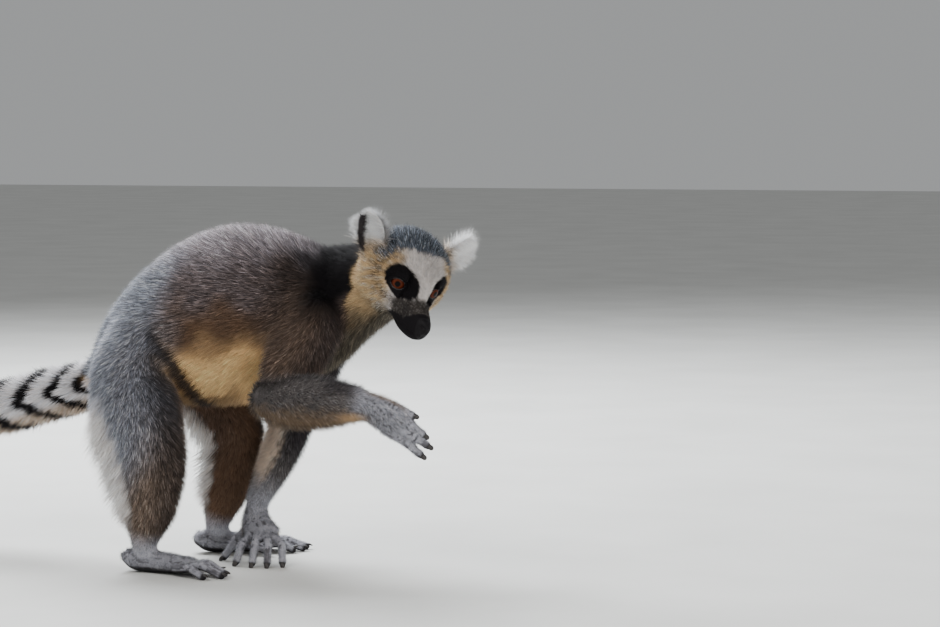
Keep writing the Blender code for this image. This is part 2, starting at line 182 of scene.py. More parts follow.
GAZE = np.array([math.cos(EYE_TURN) * math.cos(EYE_LIFT), math.sin(EYE_TURN) * math.cos(EYE_LIFT), math.sin(EYE_LIFT)])
EYE_SIDE = np.array([-math.sin(EYE_TURN), math.cos(EYE_TURN), 0.0])
EYE_RISE = np.array(
    [-math.cos(EYE_TURN) * math.sin(EYE_LIFT), -math.sin(EYE_TURN) * math.sin(EYE_LIFT), math.cos(EYE_LIFT)]
)
TAIL = [
    (-112, 0, 176, 19, 19, 6),
    (-150, 8, 159, 25, 24, 8),
    (-196, 22, 147, 27, 26, 9.5),
    (-250, 39, 133, 28, 27, 10.5),
    (-300, 51, 135, 28, 28, 11),
    (-337, 59, 160, 28, 28, 11),
    (-353, 64, 204, 28, 28, 11),
    (-353, 67, 252, 28, 28, 11),
    (-344, 69, 300, 28, 28, 11),
    (-332, 69, 346, 27, 27, 11),
    (-323, 67, 393, 27, 27, 11),
    (-322, 63, 439, 26, 26, 11),
    (-333, 59, 482, 24, 24, 11),
    (-357, 55, 514, 18, 18, 10),
]
RIGHT_LEG = [
    (-80, -34, 212, 33, 28, 7.5),
    (-87, -45, 176, 41, 33, 7.5),
    (-80, -54, 144, 44, 35, 7.5),
    (-69, -60, 112, 40, 31, 7),
    (-66, -61, 84, 36, 27, 6.5),
    (-65, -61, 60, 28, 22, 5.5),
    (-69, -60, 40, 20, 17, 3.6),
    (-71, -60, 27, 14, 14, 2.4),
    (-70, -60, 18, 11.5, 11, 1.6),
    (-69, -60, 12, 9, 9, 1.2),
]
LEFT_LEG = [
    (-84, 34, 212, 32, 28, 7),
    (-70, 46, 178, 36, 31, 7),
    (-47, 56, 144, 35, 29, 7),
    (-28, 61, 113, 31, 26, 6.5),
    (-32, 63, 86, 28, 23, 6),
    (-38, 65, 61, 25, 21, 5),
    (-45, 66, 40, 18, 16, 3.4),
    (-48, 66, 27, 13, 13, 2.2),
    (-47, 66, 18, 11.5, 11, 1.6),
    (-46, 66, 12, 9, 9, 1.2),
]
RIGHT_UPPER_ARM = [
    (82, -34, 236, 32, 26, 7.5),
    (74, -46, 208, 33, 26, 7.5),
    (62, -57, 182, 28, 23, 7),
    (54, -65, 161, 20, 16, 5.5),
]
RIGHT_FOREARM = [
    (43, -66, 157, 21, 18, 6),
    (56, -68, 157, 26, 22, 6.5),
    (76, -72, 157, 28, 21, 6.5),
    (104, -76, 157, 26, 20, 6),
    (123, -77, 157, 21, 17, 4.6),
    (139, -76, 156, 17, 14, 3),
]
LEFT_ARM = [
    (70, 32, 222, 30, 25, 7),
    (58, 43, 190, 29, 24, 6.5),
    (44, 48, 160, 27, 23, 6),
    (32, 48, 131, 25, 22, 6),
    (24, 44, 104, 22, 20, 5.5),
    (14, 38, 79, 18, 17, 4.2),
    (6, 31, 60, 14, 14, 3),
    (3, 27, 46, 12, 13, 2.2),
]
RIGHT_PALM = [(139, -76, 156, 15, 13.5, 2.5), (154, -75, 149, 12.5, 16.5, 1.8), (164, -74, 143, 11, 18, 1.4)]
RIGHT_PALM_SIDE = (0.15, -0.45, 0.88)
RIGHT_FINGERS = {
    "thumb": [(148, -66, 143), (160, -57, 137), (173, -53, 132)],
    "second": [(160, -75, 157), (171, -77, 153), (182, -73, 147)],
    "third": [(163, -76, 149), (179, -77, 141), (190, -69, 130)],
    "fourth": [(161, -76, 141), (180, -75, 131), (193, -67, 120.5)],
    "fifth": [(156, -75, 134), (173, -73, 125), (187, -66, 112)],
}
LEFT_PALM = [(3, 27, 46, 12, 13, 2.5), (6, 22, 34, 11, 15, 1.8), (14, 13, 26, 9, 18, 1.4)]
LEFT_PALM_SIDE = (1.0, 0.25, 0.0)
LEFT_FINGERS = {
    "thumb": [(0, 22, 34), (-13, 21, 20), (-25, 18, 2.5)],
    "second": [(4, 8, 25), (0, -2, 19), (-4, -8, 2.5)],
    "third": [(12, 6, 27), (14, -6, 21), (13, -13, 2.5)],
    "fourth": [(20, 7, 26), (26, -5, 21), (27, -12, 2.5)],
    "fifth": [(26, 12, 24), (36, 3, 19), (39, -4, 2.5)],
}
SOLE = [
    (-17, 0, 13, 8, 10, 1.5),
    (-8, 0, 10.5, 11, 12, 1.5),
    (8, 1, 9.5, 11, 12, 1.5),
    (28, 2, 8.5, 9, 14, 1.2),
    (42, 0, 7.5, 7, 17, 1.0),
]
TOES = {
    "big_toe": [(20, 7, 8), (33, 21, 8.5), (46, 30, 3.5)],
    "second": [(40, 10, 7), (57, 13, 9), (70, 14, 2.5)],
    "third": [(42, 3, 7), (62, 4, 10), (80, 4, 2.5)],
    "fourth": [(42, -5, 7), (63, -7, 10), (84, -8, 2.5)],
    "fifth": [(38, -12, 7), (56, -17, 9), (72, -20, 2.5)],
}
RIGHT_FOOT_TURN, LEFT_FOOT_TURN = -10.0, 22.0
RIGHT_HAND_BACK: Triple = (-0.14, -0.89, 0.43)
LEFT_HAND_BACK: Triple = (0.15, -0.6, 0.75)
FINGER_RADIUS, TOE_RADIUS, BIG_TOE_RADIUS = 4.6, 4.6, 5.6
DIGIT_TIP_RADIUS = 3.9

LEAST_HALF_SIZE = 0.6
END_DEPTH = 0.8  # of a loft's rounded end, as a share of its smaller half size
CLAIM_REACH = 30.0
EAR_CLAIM_REACH = 60.0
FAR = 50.0
MEETING_SHARPNESS = 9.0
TAIL_LENGTH = 619.7


def head_matrix() -> Array:
    """The matrix that carries the head's own frame, with its origin between the eyes, to its place."""
    turn = Euler([math.radians(a) for a in HEAD_TURN], "XYZ").to_matrix().to_4x4()
    return np.array(Matrix.Translation(Vector(HEAD_PLACE)) @ turn)


def foot_matrix(ankle: Sequence[float], turn: float, big_toe_side: float) -> Array:
    """The matrix that carries a foot's frame (x to the toes, y to the big toe) under its ankle.

    Args:
        ankle: the point above the foot's origin.
        turn: its turn about z in degrees.
        big_toe_side: 1 if the big toe is to the left, -1 if to the right.

    Returns:
        The matrix.
    """
    return np.array(
        Matrix.Translation(Vector((ankle[0], ankle[1], 0)))
        @ Matrix.Rotation(math.radians(turn), 4, "Z")
        @ Matrix.Diagonal(Vector((1, big_toe_side, 1, 1)))
    )


HEAD_MATRIX = head_matrix()
HEAD_INVERSE = np.linalg.inv(HEAD_MATRIX)


# --- Lofts, and where a point lies on them ---


class Kind(Enum):
    """The kinds of body length, which set markings and the coat piece."""

    TORSO = 0
    HEAD = 1
    EAR = 2
    TAIL = 3
    LEG = 4
    ARM = 5
    PALM = 6
    SOLE = 7
    FINGER = 8
    TOE = 9


@dataclass(frozen=True)
class Nearness:
    """Where n points lie about one loft.

    reach is the distance from its path in half sizes (about 1 on its surface), share runs from 0 to 1 along it, angle
    runs round it from the width axis to the depth axis, and flow is the direction in which its hair lies.
    """

    reach: Array
    share: Array
    angle: Array
    flow: Array
    coat: Array

    def only(self, chosen: Array) -> "Nearness":
        """The same for some of the points."""
        return Nearness(*(values[chosen] for values in vars(self).values()))


@dataclass(frozen=True)
class Loft:
    """An ellipse carried along a smooth path: centre + depth sin(a) + width cos(a) at each ring."""

    name: str
    kind: Kind
    stations: Sequence[Sequence[float]]
    side: Triple = LEFT
    facing: Triple | None = None
    place: Array = field(default_factory=lambda: np.eye(4))
    hair_runs_back: bool = False
    steps: int = 8
    sides: int = 40

    @cached_property
    def rings(self) -> tuple[Array, Array, Array, Array]:
        """The ellipses along the path: width = side less its part along the path, and depth = path x width.

        Returns:
            Rows (x, y, z, half depth, half width, coat), and each row's path, width and depth directions.
        """
        rows = smooth_rows(self.stations, self.steps)
        facing = np.gradient(rows[:, :3], axis=0) if self.facing is None else np.tile(self.facing, (len(rows), 1))
        along = unit(facing)
        side = np.array(self.side)
        width = unit(side - (along @ side)[:, None] * along)
        return rows, along, width, np.cross(along, width)

    def surface(self) -> Shell:
        """The closed skin of the loft, each half size less the coat, with a half ellipsoid at each end.

        Returns:
            Its points and faces.
        """
        rows, along, width, depth = self.rings
        size = np.maximum(rows[:, 3:5] - rows[:, 5:6], LEAST_HALF_SIZE)
        bow = np.linspace(0, math.pi / 2, 6)[1:-1]
        reach = END_DEPTH * size[[0, -1]].min(axis=1)
        first = rows[0, :3] - along[0] * reach[0] * np.sin(bow[::-1, None])
        last = rows[-1, :3] + along[-1] * reach[1] * np.sin(bow[:, None])
        centres = np.vstack([first, rows[:, :3], last])
        size = np.vstack([size[0] * np.cos(bow[::-1, None]), size, size[-1] * np.cos(bow[:, None])])
        index = np.clip(np.arange(-len(bow), len(rows) + len(bow)), 0, len(rows) - 1)
        angle = 2 * math.pi * np.arange(self.sides) / self.sides
        points = (
            centres[:, None]
            + size[:, None, 0:1] * np.sin(angle)[None, :, None] * depth[index][:, None]
            + size[:, None, 1:2] * np.cos(angle)[None, :, None] * width[index][:, None]
        )
        poles = np.array([rows[0, :3] - along[0] * reach[0], rows[-1, :3] + along[-1] * reach[1]])
        points = carried(self.place, np.vstack([points.reshape(-1, 3), poles]))
        return points, closed_tube(len(centres), self.sides)

    @cached_property
    def box(self) -> tuple[Array, Array]:
        """The box that holds every point which the loft can claim.

        Returns:
            Its lowest and highest corners.
        """
        centres = carried(self.place, self.rings[0][:, :3])
        reach = self.rings[0][:, 3:5].max() + CLAIM_REACH
        return centres.min(axis=0) - reach, centres.max(axis=0) + reach

    def nearness(self, points: Array) -> Nearness:
        """Finds the points' places by the nearest ring, then by the ring's own axes.

        Args:
            points: the points.

        Returns:
            Their places about this loft.
        """
        rows, along, width, depth = self.rings
        local = carried(np.linalg.inv(self.place), points)
        centres = rows[:, :3]
        distance = (centres**2).sum(axis=1) - 2 * local @ centres.T
        ring = distance.argmin(axis=1)
        offset = local - centres[ring]
        deep = (offset * depth[ring]).sum(axis=1) / rows[ring, 3]
        wide = (offset * width[ring]).sum(axis=1) / rows[ring, 4]
        ahead = (offset * along[ring]).sum(axis=1)
        outside = ((ring == 0) & (ahead < 0)) | ((ring == len(rows) - 1) & (ahead > 0))
        beyond = np.where(outside, np.abs(ahead) / (END_DEPTH * rows[ring, 3:5].min(axis=1)), 0.0)
        length = np.concatenate([[0], np.cumsum(np.linalg.norm(np.diff(centres, axis=0), axis=1))])
        return Nearness(
            reach=np.sqrt(deep**2 + wide**2 + beyond**2),
            share=np.clip((length[ring] + ahead) / length[-1], 0, 1),
            angle=np.arctan2(deep, wide),
            flow=turned(self.place, along[ring]) * (-1.0 if self.hair_runs_back else 1.0),
            coat=rows[ring, 5],
        )


def closed_tube(rings: int, sides: int) -> list[tuple[int, ...]]:
    """Faces of rings of points with a pole beyond each end, whose points come last.

    Args:
        rings: how many rings.
        sides: how many points in each.

    Returns:
        The faces.
    """
    index = np.arange(rings * sides).reshape(rings, sides)
    around = np.roll(index, -1, axis=1)
    quads = np.stack([index[:-1], around[:-1], around[1:], index[1:]], axis=-1).reshape(-1, 4)
    low, high = rings * sides, rings * sides + 1
    start = np.stack([around[0], index[0], np.full(sides, low)], axis=-1)
    end = np.stack([index[-1], around[-1], np.full(sides, high)], axis=-1)
    return [tuple(f) for f in quads.tolist()] + [tuple(f) for f in start.tolist() + end.tolist()]


@dataclass(frozen=True)
class Ear:
    """A cupped ear, its crescents stacked along its height: x = cup times y squared, less or plus a share of the wall.

    It answers to the same calls as a loft.
    """

    name: str
    hand: float
    kind: Kind = Kind.EAR
    root: Triple = (-36.0, 31.0, 8.0)
    height: float = 43.5
    half_width: float = 21.5
    cup: float = 9.0
    splay: float = 33.0
    sweep: float = 9.0
    turn: float = 42.0
    coat: float = 3.4
    skin_wall: float = 2.4
    hollow: float = 1.0
    claim_depth: float = 6.0
    claim_top: float = 0.97
    claim_fall: float = 4.0
    front_hair: float = 4.4
    back_hair: float = 3.8
    edge_hair: float = 2.4
    hair_lost_in_hollow: float = 2.6

    @cached_property
    def place(self) -> Array:
        """The ear's place: turned on its stem, swept back, splayed outwards, put on its root, carried with the head.

        Returns:
            The matrix that carries the ear's own frame to the animal's.
        """
        local = (
            Matrix.Translation(Vector((self.root[0], self.hand * self.root[1], self.root[2])))
            @ Matrix.Rotation(math.radians(-self.hand * self.splay), 4, "X")
            @ Matrix.Rotation(math.radians(-self.sweep), 4, "Y")
            @ Matrix.Rotation(math.radians(self.hand * self.turn), 4, "Z")
        )
        return HEAD_MATRIX @ np.array(local)

    @cached_property
    def box(self) -> tuple[Array, Array]:
        """The box that holds every point which the ear can claim."""
        middle = carried(self.place, np.array([[0.0, 0.0, self.height / 2]]))[0]
        return middle - EAR_CLAIM_REACH, middle + EAR_CLAIM_REACH

    def breadth(self, t: Array) -> Array:
        """Half width at a share t of the height."""
        return self.half_width * (0.62 + 0.6 * t) * np.sqrt(np.clip(1 - np.clip(t, 0, 1) ** 3.2, 0, 1))

    def bowl(self, across: Array, t: Array) -> Array:
        """How far forwards the hollow's surface lies at a share across of the half width."""
        return self.cup * (1 - 0.5 * t) * self.breadth(t) / self.half_width * across**2

    def slit(self, across: Array, t: Array) -> Array:
        """How far a point lies in the hollow, painted dark for its shade: broad and near the middle at the top, narrow
        and outside below.
        """
        away = np.abs(across * self.hand - (0.78 - 0.68 * t)) / (0.11 + 0.24 * t)
        return self.hollow * step(1.15, 0.75, away) * step(0.93, 0.82, t)

    def surface(self) -> Shell:
        """The ear's closed skin, a loop of points over the back and the front at each height.

        Returns:
            Its points and faces.
        """
        t = np.sin(np.linspace(0, math.pi / 2, 26)) * 0.995
        t[0] = -0.18
        height = (self.height - self.coat) * t
        lean = np.sin(np.linspace(-math.pi / 2, math.pi / 2, 22))
        breadth = np.maximum(self.breadth(np.clip(t, 0, 1)) - self.coat * 0.9, 0.8)
        rim = np.sqrt(np.clip(1 - lean**2, 0, 1))
        wall = self.skin_wall * (1 - 0.35 * np.clip(t, 0, 1))
        bowl = self.bowl(lean[None], np.clip(t, 0, 1)[:, None])
        back = bowl - wall[:, None] * (0.15 + 0.6 * rim)
        front = bowl + wall[:, None] * 0.25 * rim
        x = np.hstack([back, front[:, ::-1]])
        y = breadth[:, None] * np.hstack([lean, lean[::-1]])[None]
        z = np.broadcast_to(height[:, None], x.shape)
        points = np.stack([x, y, z], axis=-1)
        sides = x.shape[1]
        poles = np.array([points[0].mean(axis=0), points[-1].mean(axis=0)])
        return carried(self.place, np.vstack([points.reshape(-1, 3), poles])), closed_tube(len(t), sides)

    def nearness(self, points: Array) -> Nearness:
        """Finds the points' places by height, by share across and by distance from the hollow's surface.

        Args:
            points: the points.

        Returns:
            Their places about this ear.
        """
        local = carried(np.linalg.inv(self.place), points)
        t = local[:, 2] / self.height
        inside = np.clip(t, 0, self.claim_top)
        across = local[:, 1] / self.breadth(inside)
        depth = (local[:, 0] - self.bowl(np.clip(across, -1, 1), inside)) / self.claim_depth
        below, above = (np.clip(v, 0, None) * self.claim_fall for v in (-t, t - self.claim_top))
        front = depth > 0
        outer = across * self.hand
        sideways = np.where(front & (outer < 0.2), 0.55 * self.hand, 0.8 * across)
        flow = np.stack([np.where(front, 0.35, -0.1), sideways, np.full(len(t), 0.75)], axis=1)
        edge = self.edge_hair
        front_hair = self.front_hair + edge * step(0.0, -0.7, outer) - self.hair_lost_in_hollow * self.slit(across, t)
        return Nearness(
            reach=np.sqrt(across**2 + depth**2 + below**2) + above,
            share=np.clip(t, 0, 1),
            angle=np.where(front, np.clip(across, -1, 1), math.pi - np.clip(across, -1, 1)),
            flow=turned(self.place, flow),
            coat=np.where(front, front_hair, self.back_hair)
            + edge * step(0.5, 0.95, np.abs(across))
            + edge * step(0.5, 0.9, outer) * step(0.7, 0.3, t),
        )


def digit(name: str, kind: Kind, joints: Sequence[Triple], radius: float, back: Triple, place: Array) -> Loft:
    """A finger or toe through three joints, with a swelling at the bend and a pad at the tip.

    Its depth axis points to the back of the paw.

    Args:
        name: its name.
        kind: finger or toe.
        joints: its root, its bend and its tip.
        radius: half its thickness at the root.
        back: the direction of the paw's back.
        place: the matrix of the paw's frame.

    Returns:
        Its loft.
    """
    start, bend, tip = (np.array(p, float) for p in joints)
    end = DIGIT_TIP_RADIUS
    stations = [
        (*start, radius, radius, 0.7),
        (*(start + bend) / 2, radius * 0.97, radius * 0.96, 0.5),
        (*bend, radius * 0.98, radius * 0.97, 0.4),
        (*(bend * 0.45 + tip * 0.55), end, end, 0.3),
        (*(bend * 0.1 + tip * 0.9), end, end * 1.02, 0.2),
        (*tip, end * 0.86, end * 0.9, 0.1),
    ]
    side = tuple(unit(np.cross(np.array(back), tip - start)))
    return Loft(name, kind, stations, side=side, place=place, steps=5, sides=20)


def body_lofts() -> list[Loft | Ear]:
    """Every length of the body, from the torso to the digits.

    Returns:
        The lofts, in order.
    """
    right_foot = foot_matrix(RIGHT_LEG[7], RIGHT_FOOT_TURN, 1)
    left_foot = foot_matrix(LEFT_LEG[7], LEFT_FOOT_TURN, -1)
    made: list[Loft | Ear] = [
        Loft("torso", Kind.TORSO, TORSO, facing=FORWARD, hair_runs_back=True, sides=72),
        Loft("head", Kind.HEAD, HEAD, place=HEAD_MATRIX, hair_runs_back=True, sides=64),
        Ear("ear_left", 1.0, root=(-38.0, 27.0, 15.0), splay=52.0, sweep=12.0, turn=19.0, hollow=0.15),
        Ear("ear_right", -1.0),
        Loft("tail", Kind.TAIL, TAIL, sides=48),
        Loft("leg_right", Kind.LEG, RIGHT_LEG, sides=48),
        Loft("leg_left", Kind.LEG, LEFT_LEG, sides=48),
        Loft("upper_arm_right", Kind.ARM, RIGHT_UPPER_ARM, sides=48),
        Loft("forearm_right", Kind.ARM, RIGHT_FOREARM, sides=48),
        Loft("arm_left", Kind.ARM, LEFT_ARM, sides=48),
        Loft("palm_right", Kind.PALM, RIGHT_PALM, side=RIGHT_PALM_SIDE),
        Loft("palm_left", Kind.PALM, LEFT_PALM, side=LEFT_PALM_SIDE),
        Loft("sole_right", Kind.SOLE, SOLE, place=right_foot),
        Loft("sole_left", Kind.SOLE, SOLE, place=left_foot),
    ]
    fingers = (("right", RIGHT_FINGERS, RIGHT_HAND_BACK), ("left", LEFT_FINGERS, LEFT_HAND_BACK))
    for side, each, back in fingers:
        for name, joints in each.items():
            made.append(digit(f"{side}_{name}_finger", Kind.FINGER, joints, FINGER_RADIUS, back, np.eye(4)))
    for side, place in (("right", right_foot), ("left", left_foot)):
        for name, joints in TOES.items():
            radius = BIG_TOE_RADIUS if name == "big_toe" else TOE_RADIUS
            made.append(digit(f"{side}_{name}", Kind.TOE, joints, radius, UP, place))
    return made


@dataclass(frozen=True)
class Places:
    """Where n points lie on the whole body.

    owner is the nearest loft's number, weights are the shares of every loft, margin is how much further off the next
    loft is, share and angle are the owner's, and flow and coat are blends.
    """

    points: Array
    owner: Array
    weights: Array
    share: Array
    angle: Array
    flow: Array
    coat: Array
    margin: Array
    each: list[Nearness]


class Body:
    """The lofts of the whole animal, and the frame that carries millimetres to the world."""

    def __init__(self) -> None:
        """Finds the place of the animal's own origin in the world from the right eye's solid."""
        self.lofts = body_lofts()
        low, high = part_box("eye_right")
        eye = carried(HEAD_MATRIX, np.array([[EYE_CENTRE[0], -EYE_CENTRE[1], EYE_CENTRE[2]]]))[0]
        self.offset = (np.array(low) + np.array(high)) / 2 - eye * MM
        self.offset[2] = 0.0

    def world(self, points: Array) -> Array:
        """Metres in the world from millimetres in the animal's frame."""
        return points * MM + self.offset

    def local(self, mesh: bpy.types.Mesh) -> Array:
        """A mesh's vertices in the animal's frame, in millimetres."""
        return (read(mesh.vertices, "co", 3).astype(float) - self.offset) / MM

    def move(self, mesh: bpy.types.Mesh, points: Array) -> None:
        """Puts a mesh's vertices at points of the animal's frame."""
        mesh.vertices.foreach_set("co", self.world(points).astype(np.float32).ravel())
        mesh.update()

    def locate(self, points: Array) -> Places:
        """Every point's place, with weights exp(-sharpness (reach - nearest reach)), shared where lofts meet.

        Args:
            points: the points.

        Returns:
            Their places.
        """
        each = [self.one_nearness(loft, points) for loft in self.lofts]
        reach = np.stack([near.reach for near in each], axis=1)
        owner = reach.argmin(axis=1)
        rows = np.arange(len(points))
        ordered = np.partition(reach, 1, axis=1)
        weights = np.exp(-MEETING_SHARPNESS * (reach - reach.min(axis=1, keepdims=True)))
        weights /= weights.sum(axis=1, keepdims=True)
        flow = sum(near.flow * weights[:, k : k + 1] for k, near in enumerate(each))
        coat = sum(near.coat * weights[:, k] for k, near in enumerate(each))
        share, angle = (np.stack([getattr(near, n) for near in each], axis=1)[rows, owner] for n in ("share", "angle"))
        return Places(points, owner, weights, share, angle, unit(flow), coat, ordered[:, 1] - ordered[:, 0], each)

    @staticmethod
    def one_nearness(loft: Loft | Ear, points: Array) -> Nearness:
        """Points' places about one loft, worked out only for the points within its box.

        Args:
            loft: the loft.
            points: the points.

        Returns:
            Their places, far off where they lie outside the box.
        """
        low, high = loft.box
        inside = ((points > low) & (points < high)).all(axis=1)
        count = len(points)
        made = Nearness(np.full(count, FAR), np.zeros(count), np.zeros(count), np.zeros((count, 3)), np.zeros(count))
        if inside.any():
            for name, values in vars(loft.nearness(points[inside])).items():
                getattr(made, name)[inside] = values
        return made

    def kind_share(self, places: Places, *kinds: Kind) -> Array:
        """The share of each point that belongs to lofts of some kinds."""
        shares = [[k for k, loft in enumerate(self.lofts) if loft.kind is kind] for kind in kinds]
        return sum(places.weights[:, chosen].sum(axis=1) for chosen in shares)


# --- Markings ---


@dataclass(frozen=True)
class Palette:
    """Linear colours of the coat and of bare skin, some of them painted light and shade, as marked."""

    # The back's grey, painted lighter for the light from above on the top of the body.
    back: Triple = (0.315, 0.278, 0.300)
    # The sides' grey-brown, painted darker for the shade down the sides.
    side: Triple = (0.140, 0.112, 0.112)
    flank: Triple = (0.125, 0.074, 0.046)
    # The shoulders' colour is painted shade, a dark brown.
    shoulder: Triple = (0.075, 0.056, 0.050)
    # The nape's dark grey, painted near-black for the shadow behind the head.
    nape: Triple = (0.004, 0.003, 0.004)
    rump: Triple = (0.245, 0.262, 0.308)
    belly: Triple = (0.790, 0.500, 0.235)
    # Painted shade under the neck and the jaw, darker than the pale hair there.
    throat: Triple = (0.095, 0.080, 0.060)
    cream: Triple = (0.530, 0.360, 0.190)
    white: Triple = (0.490, 0.450, 0.430)
    ear: Triple = (0.900, 0.890, 0.900)
    black: Triple = (0.004, 0.003, 0.004)
    crown: Triple = (0.090, 0.102, 0.126)
    temple: Triple = (0.050, 0.036, 0.026)
    cheek: Triple = (0.034, 0.029, 0.026)
    thigh: Triple = (0.285, 0.290, 0.335)
    haunch: Triple = (0.355, 0.375, 0.440)
    shade: Triple = (0.024, 0.020, 0.021)
    shank: Triple = (0.185, 0.137, 0.108)
    # The pale hair behind the thighs, painted paler still for the light behind it.
    fringe: Triple = (0.86, 0.80, 0.77)
    # The cream-tan inside of the legs, painted dark for the shade under the body.
    inner: Triple = (0.150, 0.088, 0.056)
    forearm: Triple = (0.135, 0.122, 0.120)
    elbow: Triple = (0.135, 0.094, 0.072)
    underarm: Triple = (0.640, 0.510, 0.410)
    sleeve: Triple = (0.250, 0.175, 0.115)
    wrist: Triple = (0.26, 0.26, 0.29)
    cuff: Triple = (0.032, 0.028, 0.032)
    tan: Triple = (0.46, 0.30, 0.17)
    paw: Triple = (0.380, 0.380, 0.425)
    leather: Triple = (0.016, 0.014, 0.016)
    tail: Triple = (0.62, 0.60, 0.62)
    # Painted shade in the ear's hollow, over its grey skin.
    ear_hollow: Triple = (0.050, 0.042, 0.045)

    def over(self, tint: Array, *layers: tuple[str, Array]) -> Array:
        """Colours with others laid over them in order, each by its share at each point.

        Args:
            tint: a colour for each point.
            layers: pairs of a colour's name and its shares.

        Returns:
            The mixed colours.
        """
        for name, share in layers:
            tint = blend(tint, np.array(getattr(self, name)), share)
        return tint

    def laid(self, base: str, points: Array, *layers: tuple[str, Array]) -> Array:
        """One colour for all points, with others laid over it."""
        return self.over(np.tile(np.array(getattr(self, base)), (len(points), 1)), *layers)


@dataclass(frozen=True)
class Markings:
    """The animal's colours as a function of the place on the body. Skin and coat share it."""

    body: Body
    palette: Palette = Palette()

    def colour(self, places: Places) -> Array:
        """Linear colours of the points: each kind's own colours, shared by weight.

        Args:
            places: where the points lie on the body.

        Returns:
            A row for each point.
        """
        total = np.zeros((len(places.points), 3))
        for k, (loft, near) in enumerate(zip(self.body.lofts, places.each)):
            weight = places.weights[:, k]
            used = weight > 0.01
            if used.any():
                maker: Callable[[Array, Nearness, Loft | Ear], Array] = getattr(self, loft.kind.name.lower())
                total[used] += maker(places.points[used], near.only(used), loft) * weight[used, None]
        on_head = np.clip(5 * self.body.kind_share(places, Kind.HEAD), 0, 1)
        return self.palette.over(total, ("black", on_head * muzzle_share(carried(HEAD_INVERSE, places.points))))

    def torso(self, p: Array, near: Nearness, loft: Loft) -> Array:
        """Grey back, brown flank, cream belly, a pale front of the neck and a blue-grey rump, with painted light and
        shade:
        the top of the back painted lighter and the sides darker for the light from above, a painted shadow that makes
        the nape near-black, and painted shade on the shoulders, under the neck, in the crease before the thigh and
        under the belly.

        Args:
            p: the points.
            near: where they lie about the loft.
            loft: the loft, which is not used.

        Returns:
            Their colours.
        """
        x = p[:, 0]
        high = np.sin(near.angle) + 0.08 * ripple(p, 40, 1)
        fold = x - np.interp(p[:, 2], (150, 159, 185, 214), (-26, -31, -41, -66)) + 1.5 * ripple(p, 14, 6)
        front = step(-1.5, 3, x - 119 + 7 * step(0.2, -0.8, high) + 1.5 * ripple(p, 12, 6))
        return self.palette.laid(
            "flank",
            p,
            # Painted light and shade: the sides darker and the top of the back lighter, as the light from above falls.
            ("side", step(-0.12, 0.35, high)),
            ("back", step(0.45, 0.95, high)),
            ("rump", step(-30, -85, x + 8 * ripple(p, 60, 2))),
            # Painted shade on the shoulders.
            ("shoulder", step(15, 60, x) * step(-0.75, -0.2, high) * step(1.1, 0.55, high)),
            ("belly", step(-0.12, -0.5, high) * step(66, 40, x) * (1 - 0.5 * step(-0.55, -0.3, high))),
            ("shade", 0.95 * step(13, 4, np.abs(fold + 2)) * step(226, 212, p[:, 2])),
            ("shade", 0.7 * step(-0.82, -0.97, high) * step(25, -5, x)),
            # Painted shadow that makes the nape near-black.
            ("nape", step(50, 90, x + 4 * ripple(p, 30, 5) + 6 * high) * step(-0.42, 0.05, high)),
            ("cream", front * step(0.78, 0.62, high)),
            # Painted shade under the neck.
            ("throat", np.maximum(front, step(60, 85, x)) * step(-0.35, -0.8, high)),
        )

    def head(self, p: Array, near: Nearness, loft: Loft) -> Array:
        """White brow and blaze, slate crown, black eye patches, cream cheeks and a brown-flecked temple, with painted
        shade under the jaw and a painted shadow at the back of the head.

        The patch is a tilted ellipse drawn out towards the nose; around is the distance from its middle in half sizes.

        Args:
            p: the points.
            near: where they lie about the loft, which is not used.
            loft: the loft, which is not used.

        Returns:
            Their colours.
        """
        q = folded(carried(HEAD_INVERSE, p))
        x, y, z = q.T
        rough, fine = ripple(p, 9, 3), ripple(p, 2.6, 7, 18)
        fleck = step(-0.6, 0.9, ripple(p, 1.7, 9, 18))
        creamy = step(2, -9, x) * step(32, 20, z) * step(13, 24, y) * (1 - 0.35 * step(-0.5, 1.0, ripple(p, 7, 4)))
        under = step(4.5, -2.5, z + 12.5 - 0.57 * x + 1.3 * rough + 0.8 * fine) * step(-5, 5, x + fine)
        side, rise = eye_plane(q)
        beside, above = side + 3.0, rise - 3.6
        around = np.hypot((0.97 * beside + 0.242 * above) / 17.0, (0.97 * above - 0.242 * beside) / 13.3)
        temple = step(1.95, 1.6, around) * step(1.08, 1.3, around) * step(-2, 5, side) * step(26, 16, rise)
        edge = -6.7 - 8.8 * step(0, 24, y)
        lower = z + 1.5 * rough + 1.5 * fine + 0.6 * np.clip(-34 - x, 0, 30)
        return self.palette.laid(
            "white",
            p,
            ("cream", creamy),
            # Painted shade under the jaw.
            ("throat", step(-22, -36, z) * step(2, -8, x)),
            ("cheek", under * (0.85 + 0.15 * step(-1.5, 0.3, fine))),
            ("black", 0.6 * under * step(8, 20, x) * step(6, 12, y)),
            ("temple", temple * step(-34, -24, rise) * (0.12 + 0.72 * fleck)),
            ("crown", step(1.9, -1.9, x - edge + 0.9 * rough + 1.3 * fine) * step(9, 15, lower)),
            # Painted shadow on the back of the head, towards the nape.
            ("nape", 0.45 * step(-42, -66, x + 2 * rough) * step(-6, 12, z)),
            ("black", step(1.08, 0.95, around + 0.03 * rough + 0.03 * fine)),
        )

